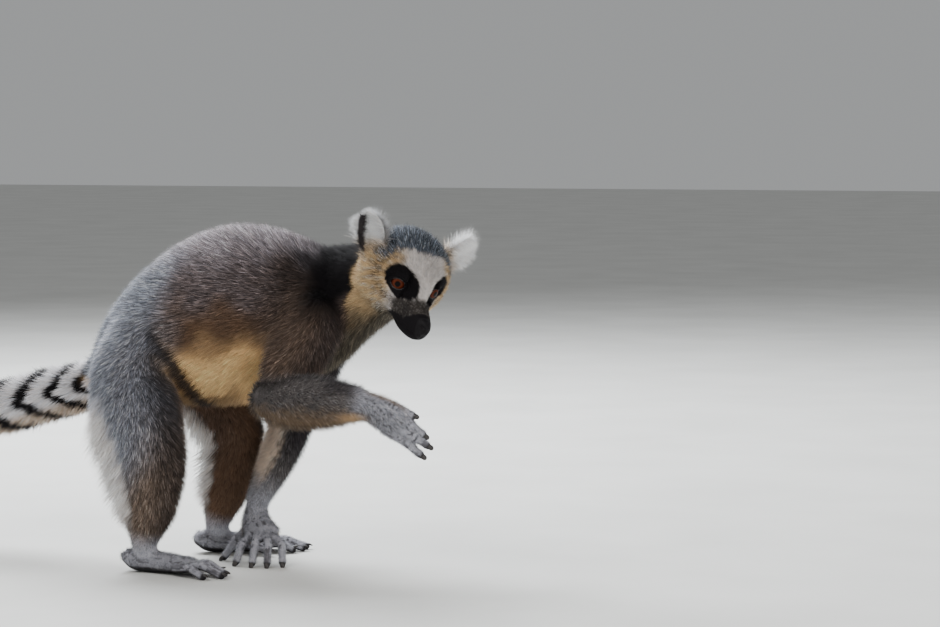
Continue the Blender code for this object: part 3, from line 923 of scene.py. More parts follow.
    def ear(self, p: Array, near: Nearness, loft: Ear) -> Array:
        """White, with painted shade in the hollow on the outer side of the front, which narrows downwards, and a cream
        root.

        Args:
            p: the points.
            near: where they lie about the loft.
            loft: the loft.

        Returns:
            Their colours.
        """
        root = step(0.52, 0.10, near.share)
        fleck = step(-0.3, 0.7, ripple(p, 2.2, 7, 18))
        slit = (np.abs(near.angle) <= 1.0001) * loft.slit(near.angle, near.share + 0.03 * ripple(p, 3, 8, 14))
        # The hollow's colour is painted shade.
        layers = ("cream", 0.85 * root), ("temple", 0.85 * root * fleck), ("ear_hollow", slit)
        return self.palette.laid("ear", p, *layers)

    def tail(self, p: Array, near: Nearness, loft: Loft) -> Array:
        """Black and white rings. Each ring is a chevron that points to the tip along the sides, and lags below.

        With s the distance from the root, a pair grows from 23 mm by 0.22 of s to 50 mm, and stays so.

        Args:
            p: the points.
            near: where they lie about the loft.
            loft: the loft, which is not used.

        Returns:
            Their colours.
        """
        first_pair, growth, full_pair, first_at, full_at = 23.0, 0.22, 50.0, 22.0, 145.0
        up, down = np.clip(-np.sin(near.angle), 0, None), np.clip(np.sin(near.angle), 0, None)
        fading = step(330, 150, near.share * TAIL_LENGTH)
        swept = (7 + 13 * fading) * up**1.3 + (9 + 26 * fading) * down**1.2
        s = near.share * TAIL_LENGTH + swept + 1.6 * ripple(p, 14, 4)
        rising = np.log1p(growth * np.clip(s - first_at, 0, full_at - first_at) / first_pair) / growth
        phase = np.mod(rising + np.clip(s - full_at, 0, None) / full_pair, 1.0)
        white_share = 0.56 - 0.10 * step(60, 220, s)
        dark = step(white_share - 0.03, white_share + 0.03, phase) * step(1.0, 0.95, phase)
        dark = np.maximum(dark, step(585, 591, s)) * step(20, 28, s)
        root = ("rump", step(36, 12, s) * 0.9)
        return self.palette.laid("tail", p, root, ("tan", 0.7 * step(0.35, 0.7, down) * fading), ("black", dark))

    def leg(self, p: Array, near: Nearness, loft: Loft) -> Array:
        """Blue-grey thigh and browner shank, both with painted shade in front; a white fringe behind, painted paler
        still for the light behind it; a tan inside, painted dark for the shade under the body; a pale ankle.

        Args:
            p: the points.
            near: where they lie about the loft.
            loft: the loft.

        Returns:
            Their colours.
        """
        outer = np.cos(near.angle) * math.copysign(1.0, loft.stations[0][1])
        front = np.sin(near.angle)
        return self.palette.laid(
            "thigh",
            p,
            ("haunch", step(0.1, -0.6, front)),
            ("shank", step(0.42, 0.72, near.share + 0.14 * front)),
            ("shade", (0.9 - 0.35 * near.share) * step(0.15, 0.9, front + 0.08 * ripple(p, 18, 16))),
            # Painted shade on the inside of the leg, under the body.
            ("inner", 0.95 * step(0.15, -0.45, outer)),
            # Pale fringe behind the thigh, painted paler still for the light behind it.
            ("fringe", fringe_share(p, near.angle, near.share)),
            ("paw", step(0.86, 0.97, near.share)),
        )

    def arm(self, p: Array, near: Nearness, loft: Loft) -> Array:
        """Brown-grey upper arm with painted shade on the shoulder and painted shadow by the nape at its top, grey
        forearm that is tan below, dark cuff above the wrist and a pale wrist.

        Args:
            p: the points.
            near: where they lie about the loft.
            loft: the loft.

        Returns:
            Their colours.
        """
        deep, share = np.sin(near.angle), near.share
        x, _, z = p.T
        if loft.name == "upper_arm_right":
            layers = (
                ("elbow", step(160, 185, z)),
                # Painted shade on the shoulder.
                ("shoulder", step(0.0, 0.9, deep) * step(165, 200, z)),
                # Painted shadow by the nape at the top of the upper arm.
                ("nape", step(212, 246, z) * step(52, 86, x)),
            )
        elif loft.name == "forearm_right":
            layers = (
                ("sleeve", step(0.1, -0.95, deep + 0.12 * ripple(p, 9, 9))),
                ("wrist", step(0.82, 1.0, share) * step(-0.7, -0.3, deep)),
                ("cuff", 0.7 * step(0.60, 0.72, share) * step(0.97, 0.86, share) * step(0.2, 0.75, deep)),
                ("tan", step(0.72, 0.9, share) * step(-0.35, -0.75, deep)),
            )
        else:
            behind = step(0.5, 0.0, deep + 0.1 * ripple(p, 8, 9) + 0.25 * share)
            inside = step(0.55, -0.1, np.cos(near.angle) + 0.1 * ripple(p, 9, 7))
            layers = (
                ("cuff", step(0.9, 0.55, share) * step(-0.2, 0.6, deep)),
                ("underarm", 0.95 * behind * inside * step(0.97, 0.80, share)),
                ("wrist", step(0.78, 0.97, share)),
            )
        return self.palette.laid("forearm", p, *layers)

    def paw(self, p: Array, near: Nearness, *layers: tuple[str, Array]) -> Array:
        """Pale grey fur with dark grey flecks drawn out along the limb, and other colours over it.

        Args:
            p: the points.
            near: where they lie about the loft.
            layers: pairs of a colour's name and its shares.

        Returns:
            Their colours.
        """
        flow = near.flow
        drawn = p - 0.85 * (p * flow).sum(axis=1, keepdims=True) * flow
        flecks = ripple(drawn, 6.0, 15, 16) + 0.6 * ripple(drawn, 2.6, 17, 16)
        return self.palette.laid("paw", p, ("cuff", 0.85 * step(-0.3, 1.7, flecks)), *layers)

    def palm(self, p: Array, near: Nearness, loft: Loft) -> Array:
        """Grey-flecked back of the hand, tan edge and a dark palm."""
        back = np.sin(near.angle)
        return self.paw(p, near, ("tan", 0.8 * step(0.2, -0.4, back)), ("leather", step(-0.45, -0.75, back)))

    def sole(self, p: Array, near: Nearness, loft: Loft) -> Array:
        """Grey-flecked back of the foot and a dark sole."""
        return self.paw(p, near, ("leather", step(-0.3, -0.6, np.sin(near.angle))))

    def finger(self, p: Array, near: Nearness, loft: Loft) -> Array:
        """Grey-flecked fur on the back, dark leather below and at the tip."""
        bare = np.maximum(step(-0.25, -0.65, np.sin(near.angle)), step(0.91, 0.98, near.share))
        return self.paw(p, near, ("leather", bare))

    toe = finger


def fringe_share(points: Array, angle: Array, share: Array) -> Array:
    """Where the fringe behind a thigh grows, by the angle round the leg and the share along it."""
    behind = step(-0.40, -0.8, np.sin(angle) + 0.06 * ripple(points, 14, 9))
    return behind * step(0.24, 0.4, share) * step(0.93, 0.78, share)


def muzzle_share(head_points: Array) -> Array:
    """Where the muzzle is black: below an edge that rises to the nose, and all round the nose.

    Args:
        head_points: points of the head's frame.

    Returns:
        A share for each point.
    """
    x, _, z = head_points.T
    rough, fine = ripple(head_points, 7, 3), ripple(head_points, 2.6, 7, 18)
    edge = np.interp(x, (-11.0, -4.0, 3.0, 10.5, 20.6, 31.0), (-31.0, -26.0, -23.0, -20.8, -19.6, -9.5))
    below = step(0.9, -0.9, z - edge + 0.6 * rough + 0.5 * fine)
    near = np.linalg.norm(head_points, axis=1) < 62
    return np.maximum(below, step(30.2, 31.8, x + 0.4 * rough)) * step(-12.5, -9.5, x + 0.5 * fine) * near


def folded(head_points: Array) -> Array:
    """Points of the head's frame with y taken positive, since the face is even."""
    return np.stack([head_points[:, 0], np.abs(head_points[:, 1]), head_points[:, 2]], axis=1)


def eye_plane(head_points: Array) -> tuple[Array, Array]:
    """Distances of folded head points from the gaze line: away from the nose, and upwards."""
    offset = head_points - np.array(EYE_CENTRE)
    return offset @ EYE_SIDE, offset @ EYE_RISE


# --- Meshes ---


def put(name: str, data: bpy.types.ID) -> bpy.types.Object:
    """A new object in the scene.

    Args:
        name: its name.
        data: its mesh, light or camera.

    Returns:
        The object.
    """
    made = bpy.data.objects.new(name, data)
    bpy.context.scene.collection.objects.link(made)
    return made


def new_object(name: str, points: Array, faces: Iterable[Sequence[int]], smooth_shade: bool = True) -> bpy.types.Object:
    """An object at the origin from points in metres and faces.

    Args:
        name: its name.
        points: positions in metres.
        faces: rows of point numbers.
        smooth_shade: whether its faces shade smoothly.

    Returns:
        The object.
    """
    mesh = bpy.data.meshes.new(name)
    mesh.from_pydata(points.tolist(), [], list(faces))
    mesh.update()
    if smooth_shade:
        mesh.shade_smooth()
    return put(name, mesh)


def closed_object(name: str, shells: Iterable[Shell], body: Body) -> bpy.types.Object:
    """An object of closed shells given in the animal's frame, with every face turned outwards.

    Args:
        name: its name.
        shells: the closed shells.
        body: the animal's body.

    Returns:
        The object.
    """
    made = new_object(name, *joined(shells, body))
    shape = bmesh.new()
    shape.from_mesh(made.data)
    bmesh.ops.recalc_face_normals(shape, faces=shape.faces)
    shape.to_mesh(made.data)
    shape.free()
    made.data.shade_smooth()
    return made


def joined(shells: Iterable[Shell], body: Body) -> Shell:
    """Shells in the animal's frame as one set of points in metres and faces.

    Args:
        shells: the closed shells.
        body: the animal's body.

    Returns:
        Positions in metres, and faces.
    """
    points, faces, count = [], [], 0
    for some, quads in shells:
        points.append(some)
        faces += [tuple(i + count for i in face) for face in quads]
        count += len(some)
    return body.world(np.vstack(points)), faces


def finish(made: bpy.types.Object, material: bpy.types.Material) -> bpy.types.Object:
    """Gives a piece its material and its body.

    Args:
        made: the piece.
        material: its material.

    Returns:
        The piece.
    """
    made.data.materials.append(material)
    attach(made, "root")
    LOG.info("%s: %d faces", made.name, len(made.data.polygons))
    return made


def triangle_mesh(name: str, points: Array, triangles: Array) -> bpy.types.Mesh:
    """A mesh of triangles put in as whole arrays.

    Args:
        name: its name.
        points: positions in metres.
        triangles: rows of three point numbers.

    Returns:
        The mesh.
    """
    mesh = bpy.data.meshes.new(name)
    mesh.vertices.add(len(points))
    mesh.vertices.foreach_set("co", points.astype(np.float32).ravel())
    mesh.loops.add(len(triangles) * 3)
    mesh.loops.foreach_set("vertex_index", triangles.astype(np.int32).ravel())
    mesh.polygons.add(len(triangles))
    mesh.polygons.foreach_set("loop_start", np.arange(len(triangles), dtype=np.int32) * 3)
    mesh.update(calc_edges=True)
    mesh.validate()
    mesh.shade_smooth()
    return mesh


def read(items: bpy.types.bpy_prop_collection, name: str, width: int, kind: type = np.float32) -> Array:
    """A property of every item: one row of the given width each.

    Args:
        items: the mesh's vertices, edges or the like.
        name: the property.
        width: how many numbers each item has.
        kind: the numbers' type.

    Returns:
        An array of rows.
    """
    flat = np.empty(len(items) * width, kind)
    items.foreach_get(name, flat)
    return flat.reshape(-1, width)


def set_colour(mesh: bpy.types.Mesh, name: str, colours: Array) -> None:
    """Stores a linear colour for each vertex.

    Args:
        mesh: the mesh.
        name: the attribute's name.
        colours: a row for each vertex.
    """
    layer = mesh.color_attributes.new(name, "FLOAT_COLOR", "POINT")
    rows = np.hstack([colours, np.ones((len(colours), 1))]).astype(np.float32)
    layer.data.foreach_set("color", rows.ravel())


def set_uv(mesh: bpy.types.Mesh, name: str, places: Array) -> None:
    """Stores an unwrap in which each vertex has one place.

    Args:
        mesh: the mesh.
        name: the unwrap's name.
        places: a row for each vertex.
    """
    layer = mesh.uv_layers.new(name=name)
    corners = read(mesh.loops, "vertex_index", 1, np.int32)[:, 0]
    layer.data.foreach_set("uv", places[corners].astype(np.float32).ravel())


def evaluated(obj: bpy.types.Object) -> bpy.types.Mesh:
    """A new mesh with the object's modifiers applied, in place of the object.

    Args:
        obj: the object, which is removed.

    Returns:
        The mesh.
    """
    bpy.context.view_layer.update()
    made = bpy.data.meshes.new_from_object(obj.evaluated_get(bpy.context.evaluated_depsgraph_get()))
    bpy.data.objects.remove(obj)
    return made


def relax(points: Array, edges: Array, weights: Array, rounds: int) -> Array:
    """Moves each point towards the mean of its neighbours by its weight, a number of times.

    Args:
        points: the points.
        edges: pairs of point numbers.
        weights: how far each moves, as a share of the way.
        rounds: how many times.

    Returns:
        The moved points.
    """
    count = len(points)
    degree = np.maximum(np.bincount(edges.ravel(), minlength=count), 1)[:, None]
    a, b = edges.T
    for _ in range(rounds):
        sums = [np.bincount(a, p[b], count) + np.bincount(b, p[a], count) for p in points.T]
        points = points + (np.stack(sums, axis=1) / degree - points) * weights[:, None]
    return points


# --- Shader nodes ---


class Wire:
    """A socket, or a number, in an expression that adds Math nodes."""

    def __init__(self, tree: bpy.types.NodeTree, socket: bpy.types.NodeSocket) -> None:
        """Keeps the node tree and the output socket."""
        self.tree, self.socket = tree, socket

    def math(self, operation: str, *values: "Wire | float") -> "Wire":
        """A Math node on this wire and others."""
        return add_node(self.tree, "ShaderNodeMath", {"operation": operation}, dict(enumerate((self, *values))))

    def __add__(self, other: "Wire | float") -> "Wire":
        """Sum."""
        return self.math("ADD", other)

    def __sub__(self, other: "Wire | float") -> "Wire":
        """Difference."""
        return self.math("SUBTRACT", other)

    def __mul__(self, other: "Wire | float") -> "Wire":
        """Product."""
        return self.math("MULTIPLY", other)

    def __rsub__(self, other: float) -> "Wire":
        """A number less this wire."""
        return add_node(self.tree, "ShaderNodeMath", {"operation": "SUBTRACT"}, {0: other, 1: self})

    __radd__ = __add__
    __rmul__ = __mul__


def add_node(
    tree: bpy.types.NodeTree,
    kind: str,
    settings: dict[str, object] | None = None,
    values: dict[int | str, object] | None = None,
    output: int | str = 0,
) -> Wire:
    """Adds a node, sets its settings, then its sockets' values or links.

    Args:
        tree: the node tree.
        kind: the node's type.
        settings: attributes, or "stops" for a colour ramp as (position, colour) pairs.
        values: numbers, colours or wires by socket.
        output: the output that is returned.

    Returns:
        The chosen output as a wire.
    """
    node = tree.nodes.new(kind)
    for name, value in (settings or {}).items():
        if name == "stops":
            elements = node.color_ramp.elements
            elements.remove(elements[1])
            elements[0].position, elements[0].color = value[0][0], (*value[0][1], 1.0)
            for position, colour in value[1:]:
                elements.new(position).color = (*colour, 1.0)
        else:
            setattr(node, name, value)
    for key, value in (values or {}).items():
        if isinstance(value, Wire):
            tree.links.new(value.socket, node.inputs[key])
        else:
            node.inputs[key].default_value = value
    return Wire(tree, node.outputs[output])


def ramp(tree: bpy.types.NodeTree, place: Wire, *stops: tuple[float, Triple]) -> Wire:
    """A colour ramp with a colour at each stop."""
    return add_node(tree, "ShaderNodeValToRGB", {"stops": stops}, {0: place})


def new_material(name: str, **constants: float | tuple[float, ...]) -> tuple[bpy.types.Material, bpy.types.NodeTree]:
    """A material with one Principled shader whose constant sockets are set.

    Args:
        name: its name.
        constants: values by socket, with _ for a space.

    Returns:
        The material and its node tree.
    """
    made = bpy.data.materials.new(name)
    made.use_nodes = True
    shader = made.node_tree.nodes["Principled BSDF"]
    for key, value in constants.items():
        shader.inputs[key.replace("_", " ")].default_value = value
    return made, made.node_tree


def feed(tree: bpy.types.NodeTree, socket: str, wire: Wire) -> None:
    """Links a wire to a socket of the Principled shader."""
    tree.links.new(wire.socket, tree.nodes["Principled BSDF"].inputs[socket])


def attribute(tree: bpy.types.NodeTree, name: str, output: str) -> Wire:
    """A stored attribute of the mesh."""
    return add_node(tree, "ShaderNodeAttribute", {"attribute_name": name}, output=output)


def noise(tree: bpy.types.NodeTree, scale: float, detail: float = 3.0, vector: Wire | None = None) -> Wire:
    """Noise on Object coordinates, or on another vector."""
    where = vector or add_node(tree, "ShaderNodeTexCoord", output="Object")
    return add_node(tree, "ShaderNodeTexNoise", values={"Vector": where, "Scale": scale, "Detail": detail})


def scaled(tree: bpy.types.NodeTree, colour: Wire, factor: Wire) -> Wire:
    """A colour multiplied by a number, by Vector Math."""
    factors = add_node(tree, "ShaderNodeCombineXYZ", values={0: factor, 1: factor, 2: factor})
    return add_node(tree, "ShaderNodeVectorMath", {"operation": "MULTIPLY"}, {0: colour, 1: factors})


def bump(tree: bpy.types.NodeTree, height: Wire, strength: float, distance: float) -> None:
    """Feeds the shader's Normal from a height."""
    values = {"Height": height, "Strength": strength, "Distance": distance}
    feed(tree, "Normal", add_node(tree, "ShaderNodeBump", values=values))


@dataclass(frozen=True)
class FurFinish:
    """Hair: the tuft's own colour with fine streaks, a soft sheen and no hard gloss."""

    name: str
    roughness: float = 0.62
    sheen: float = 0.05

    def make(self) -> bpy.types.Material:
        """Builds the material.

        Returns:
            The material.
        """
        constants = {"Sheen_Weight": self.sheen, "Sheen_Roughness": 0.5, "Specular_IOR_Level": 0.1, "Metallic": 0.0}
        made, tree = new_material(self.name, **constants)
        colour = attribute(tree, COLOUR, "Color")
        streak = noise(tree, 900.0, 2.0)
        feed(tree, "Base Color", scaled(tree, colour, 0.78 + streak * 0.44))
        feed(tree, "Roughness", self.roughness + streak * 0.16)
        return made


@dataclass(frozen=True)
class SkinFinish:
    """Skin: its markings, with pebbled grain where it is bare and a short nap elsewhere."""

    name: str = "skin"
    nap_size: float = 1400.0
    pebble_size: float = 1500.0

    def make(self) -> bpy.types.Material:
        """Builds the material.

        Returns:
            The material.
        """
        made, tree = new_material(self.name, Specular_IOR_Level=0.14, Metallic=0.0)
        colour, bare = attribute(tree, COLOUR, "Color"), attribute(tree, BARE, "Fac")
        nap = noise(tree, self.nap_size, 2.0)
        where = add_node(tree, "ShaderNodeTexCoord", output="Object")
        pebble = add_node(tree, "ShaderNodeTexVoronoi", {"feature": "F1"}, {"Vector": where, "Scale": self.pebble_size})
        feed(tree, "Base Color", scaled(tree, colour, 0.72 + nap * 0.56))
        feed(tree, "Roughness", 0.82 - bare * 0.34 + nap * 0.1)
        bump(tree, nap * (1.0 - bare) + pebble * bare, 0.5, 0.0004)
        return made


@dataclass(frozen=True)
class DarkFinish:
    """A black, moist or horny surface with fine grain."""

    name: str
    deep: Triple
    pale: Triple
    grain: float
    roughness: float
    spread: float
    relief: float
    depth: float

    def make(self) -> bpy.types.Material:
        """Builds the material.

        Returns:
            The material.
        """
        made, tree = new_material(self.name, Specular_IOR_Level=0.5)
        grain = noise(tree, self.grain, 2.0)
        feed(tree, "Base Color", ramp(tree, grain, (0.3, self.deep), (0.7, self.pale)))
        feed(tree, "Roughness", self.roughness + grain * self.spread)
        bump(tree, grain, self.relief, self.depth)
        return made


LID = DarkFinish("lid", (0.006, 0.005, 0.005), (0.02, 0.016, 0.016), 1600.0, 0.28, 0.25, 0.3, 0.0002)
HORN = DarkFinish("horn", (0.010, 0.008, 0.008), (0.035, 0.028, 0.026), 2200.0, 0.30, 0.2, 0.2, 0.0001)


@dataclass(frozen=True)
class IrisFinish:
    """Eye: an amber iris with fine rays and a dark rim, a small pupil, and a clear wet coat over all.

    pupil and rim are radii on the unwrap, which is a plane across the gaze, where 1 is the ball's radius.
    """

    name: str = "iris"
    pupil: float = 0.24
    rim: float = 0.66

    def make(self) -> bpy.types.Material:
        """Builds the material.

        Returns:
            The material.
        """
        made, tree = new_material(
            self.name, Roughness=0.5, Coat_Weight=0.12, Coat_Roughness=0.03, Coat_IOR=1.35, Specular_IOR_Level=0.05
        )
        place = add_node(tree, "ShaderNodeUVMap", {"uv_map": "gaze"})
        away = add_node(tree, "ShaderNodeVectorMath", {"operation": "LENGTH"}, {0: place}, output="Value")
        direction = add_node(tree, "ShaderNodeVectorMath", {"operation": "NORMALIZE"}, {0: place})
        rays = noise(tree, 9.0, 4.0, direction)
        colour = ramp(
            tree,
            away + (rays - 0.5) * 0.06,
            (0.0, (0.001, 0.001, 0.001)),
            (self.pupil, (0.002, 0.001, 0.001)),
            (self.pupil + 0.035, (0.040, 0.008, 0.003)),
            (0.38, (0.086, 0.019, 0.007)),
            (0.52, (0.052, 0.009, 0.003)),
            (self.rim, (0.009, 0.003, 0.002)),
            (1.0, (0.003, 0.002, 0.002)),
        )
        feed(tree, "Base Color", scaled(tree, colour, 0.65 + rays * 0.7))
        return made


# --- The skin ---


FLESHY = (Kind.TORSO, Kind.LEG, Kind.ARM, Kind.TAIL)
PAWS = (Kind.PALM, Kind.SOLE, Kind.FINGER, Kind.TOE)


@dataclass
class Skin:
    """One closed skin for the whole animal.

    The lofts are united on a fine grid, blended where they meet, thinned where fur hides them, refined on the face,
    and given eye openings, a mouth line and nostrils.
    """

    body: Body
    grid: float = 1.35
    blend_rounds: int = 90
    kept_share: float = 0.38
    first_rounds: int = 5
    last_rounds: int = 4
    lid_gap: float = 1.0
    sunk: float = 2.6

    def build(self) -> bpy.types.Object:
        """Builds the skin and stores its markings.

        Returns:
            The skin.
        """
        mesh = self.thinned(self.united())
        self.refine(mesh)
        self.add_features(mesh)
        made = put("skin", mesh)
        places = self.body.locate(self.body.local(mesh))
        set_colour(mesh, COLOUR, Markings(self.body).colour(places))
        self.mark_bare(mesh, places)
        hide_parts(*SKIN_NODES)
        return finish(made, SkinFinish().make())

    def united(self) -> bpy.types.Mesh:
        """All lofts as one mesh, united by a voxel remesh.

        Returns:
            The mesh.
        """
        whole = new_object("skin_lofts", *joined((loft.surface() for loft in self.body.lofts), self.body))
        unite = whole.modifiers.new("unite", "REMESH")
        unite.mode, unite.voxel_size, unite.adaptivity = "VOXEL", self.grid * MM, 0.0
        return evaluated(whole)

    def thinned(self, mesh: bpy.types.Mesh) -> bpy.types.Mesh:
        """Smooths the grid's steps everywhere, and the creases between lofts far more, then thins furred parts.

        Args:
            mesh: the united skin.

        Returns:
            The smoothed and thinned mesh.
        """
        edges = read(mesh.edges, "vertices", 2, np.int32)
        local = self.body.local(mesh)
        places = self.body.locate(local)
        fleshy = self.body.kind_share(places, *FLESHY)
        large = fleshy + 0.5 * self.body.kind_share(places, Kind.HEAD)
        crease = step(0.45, 0.1, places.margin) * np.clip(large, 0, 1)
        local = relax(local, edges, np.full(len(local), 0.5), self.first_rounds)
        local = relax(local, edges, 0.9 * crease, self.blend_rounds)
        local = relax(local, edges, 0.35 + 0.4 * crease, self.last_rounds)
        local[:, 2] = np.maximum(local[:, 2], 0.0)
        self.body.move(mesh, local)
        whole = put("skin_blend", mesh)
        group = whole.vertex_groups.new(name="thin")
        levels = np.round(fleshy * step(2.5, 6.0, places.coat) * 10).astype(int)
        for level in range(1, 11):
            chosen = np.flatnonzero(levels == level)
            if len(chosen):
                group.add(chosen.tolist(), level / 10, "REPLACE")
        thin = whole.modifiers.new("thin", "DECIMATE")
        thin.ratio, thin.vertex_group = self.kept_share, "thin"
        return evaluated(whole)

    def refine(self, mesh: bpy.types.Mesh) -> None:
        """Divides the faces of the muzzle and of the eyes' surroundings once.

        Args:
            mesh: the skin, which is changed.
        """
        q = folded(carried(HEAD_INVERSE, self.body.local(mesh)))
        x, y, z = q.T
        face = ((np.hypot(*eye_plane(q)) < 13) & (x > -12) & (x < 40)) | ((x > 14) & (y < 25))
        face &= (x < 60) & (np.abs(z + 5) < 45)
        shape = bmesh.new()
        shape.from_mesh(mesh)
        shape.verts.ensure_lookup_table()
        edges = [e for e in shape.edges if face[e.verts[0].index] and face[e.verts[1].index]]
        bmesh.ops.subdivide_edges(shape, edges=edges, cuts=1, use_grid_fill=True)
        bmesh.ops.triangulate(shape, faces=[f for f in shape.faces if len(f.verts) > 4])
        shape.to_mesh(mesh)
        shape.free()
        mesh.shade_smooth()

    def add_features(self, mesh: bpy.types.Mesh) -> None:
        """Shapes the face: openings behind the lids, the mouth line, nostrils and the nose's groove.

        Args:
            mesh: the skin, which is changed.
        """
        local = self.body.local(mesh)
        q = carried(HEAD_INVERSE, local)
        for hand in (1.0, -1.0):
            q = self.eye_opening(q, hand)
        q = self.mouth(q)
        near = np.linalg.norm(q, axis=1) < 75
        local[near] = carried(HEAD_MATRIX, q[near])
        self.body.move(mesh, local)

    def eye_opening(self, q: Array, hand: float) -> Array:
        """Wraps the skin over the eyeball as a lid, and draws it behind the ball inside the opening.

        With r the distance from the gaze line in units of the opening, the surface's height along the gaze is
        sqrt((R + gap)^2 - d^2) at r over 1, and under the ball at r under 1.

        Args:
            q: points of the head's frame.
            hand: 1 for the animal's left side, -1 for its right.

        Returns:
            The moved points.
        """
        mirrored = q * np.array([1.0, hand, 1.0])
        side, rise = eye_plane(mirrored)
        ahead = (mirrored - np.array(EYE_CENTRE)) @ GAZE
        own_side = q[:, 1] * hand > -2
        mirrored = mirrored - (self.dish(ahead, side, rise) * own_side * step(-2, 1, q[:, 1] * hand))[:, None] * GAZE
        ahead = (mirrored - np.array(EYE_CENTRE)) @ GAZE
        away = np.hypot(side, rise)
        r = np.hypot(side / EYE_OPENING[0], rise / EYE_OPENING[1])
        ball, lid = (np.sqrt(np.clip(size**2 - away**2, 1.0, None)) for size in (EYE_RADIUS, EYE_RADIUS + self.lid_gap))
        hug = step(1.85, 1.1, r)
        target = np.where(r < 1.0, ball - self.sunk, blend(ahead[:, None], lid[:, None], hug)[:, 0])
        target = np.where((ahead > 0) & (away < 14) & own_side, target, ahead)
        return (mirrored + (target - ahead)[:, None] * GAZE) * np.array([1.0, hand, 1.0])

    @staticmethod
    def dish(ahead: Array, side: Array, rise: Array) -> Array:
        """How far to press the skin in beside the nose, so that it stays under 3.6 mm plus 0.6 of the distance."""
        excess = ahead - (3.6 - 0.6 * side)
        return np.logaddexp(0, excess) * step(-5, -7, side) * step(-12, -7, rise) * step(19, 13, rise) * (ahead > 0)

    def mouth(self, q: Array) -> Array:
        """Presses in a mouth line along the muzzle's sides, two nostrils and a groove under the nose.

        Args:
            q: points of the head's frame.

        Returns:
            The moved points.
        """
        x, y, z = q.T
        inward = unit(np.stack([np.zeros_like(x), y, z + 14.0], axis=1))
        line = -24.5 + 0.17 * (x - 38)
        groove = step(1.5, 0.2, np.abs(z - line)) * step(-3, 3, x) * step(41.0, 38.5, x)
        q = q - inward * (0.9 * groove)[:, None]
        for hand in (1.0, -1.0):
            hole = step(1.9, 0.6, np.hypot((y - hand * 3.4) / 1.1, z + 13.5)) * step(37, 40, x)
            q = q - np.array([2.2, 0.0, 0.0]) * hole[:, None]
        cleft = step(0.8, 0.1, np.abs(y)) * step(38, 42, x) * step(-14, -16, z)
        return q - np.array([0.7, 0.0, 0.0]) * cleft[:, None]

    def mark_bare(self, mesh: bpy.types.Mesh, places: Places) -> None:
        """Stores how bare the skin is: nose pad, palms, soles and finger tips.

        Args:
            mesh: the skin.
            places: where the points lie on the body.
        """
        q = carried(HEAD_INVERSE, places.points)
        share = self.body.kind_share
        pad = step(37.5, 39.5, q[:, 0] + 0.3 * (q[:, 2] + 15)) * share(places, Kind.HEAD)
        tone = read(mesh.color_attributes[COLOUR].data, "color", 4)[:, :3].sum(axis=1)
        bare = np.maximum(pad, share(places, *PAWS) * step(0.5, np.array(Palette().leather).sum(), tone))
        layer = mesh.attributes.new(BARE, "FLOAT", "POINT")
        layer.data.foreach_set("value", bare.astype(np.float32))


SKIN_NODES = [
    "head", "nose", "neck", "trunk", "ear_left", "ear_right",
    "upper_arm_left", "upper_arm_right", "forearm_left", "forearm_right", "hand_left", "hand_right",
    "thigh_left", "thigh_right", "shank_left", "shank_right", "foot_left", "foot_right",
    "tail_1", "tail_2", "tail_3", "tail_4", "tail_5",
]


# --- The coat ---


@dataclass(frozen=True)
class CoatPiece:
    """One mesh of tufts: which skin it covers, and how many tufts of what width it has."""

    name: str
    slot: str
    tufts: int
    belongs: Callable[[Body, Places], Array]
    width: float = 0.8
    speck: float = 1.0
    ragged: float = 0.15


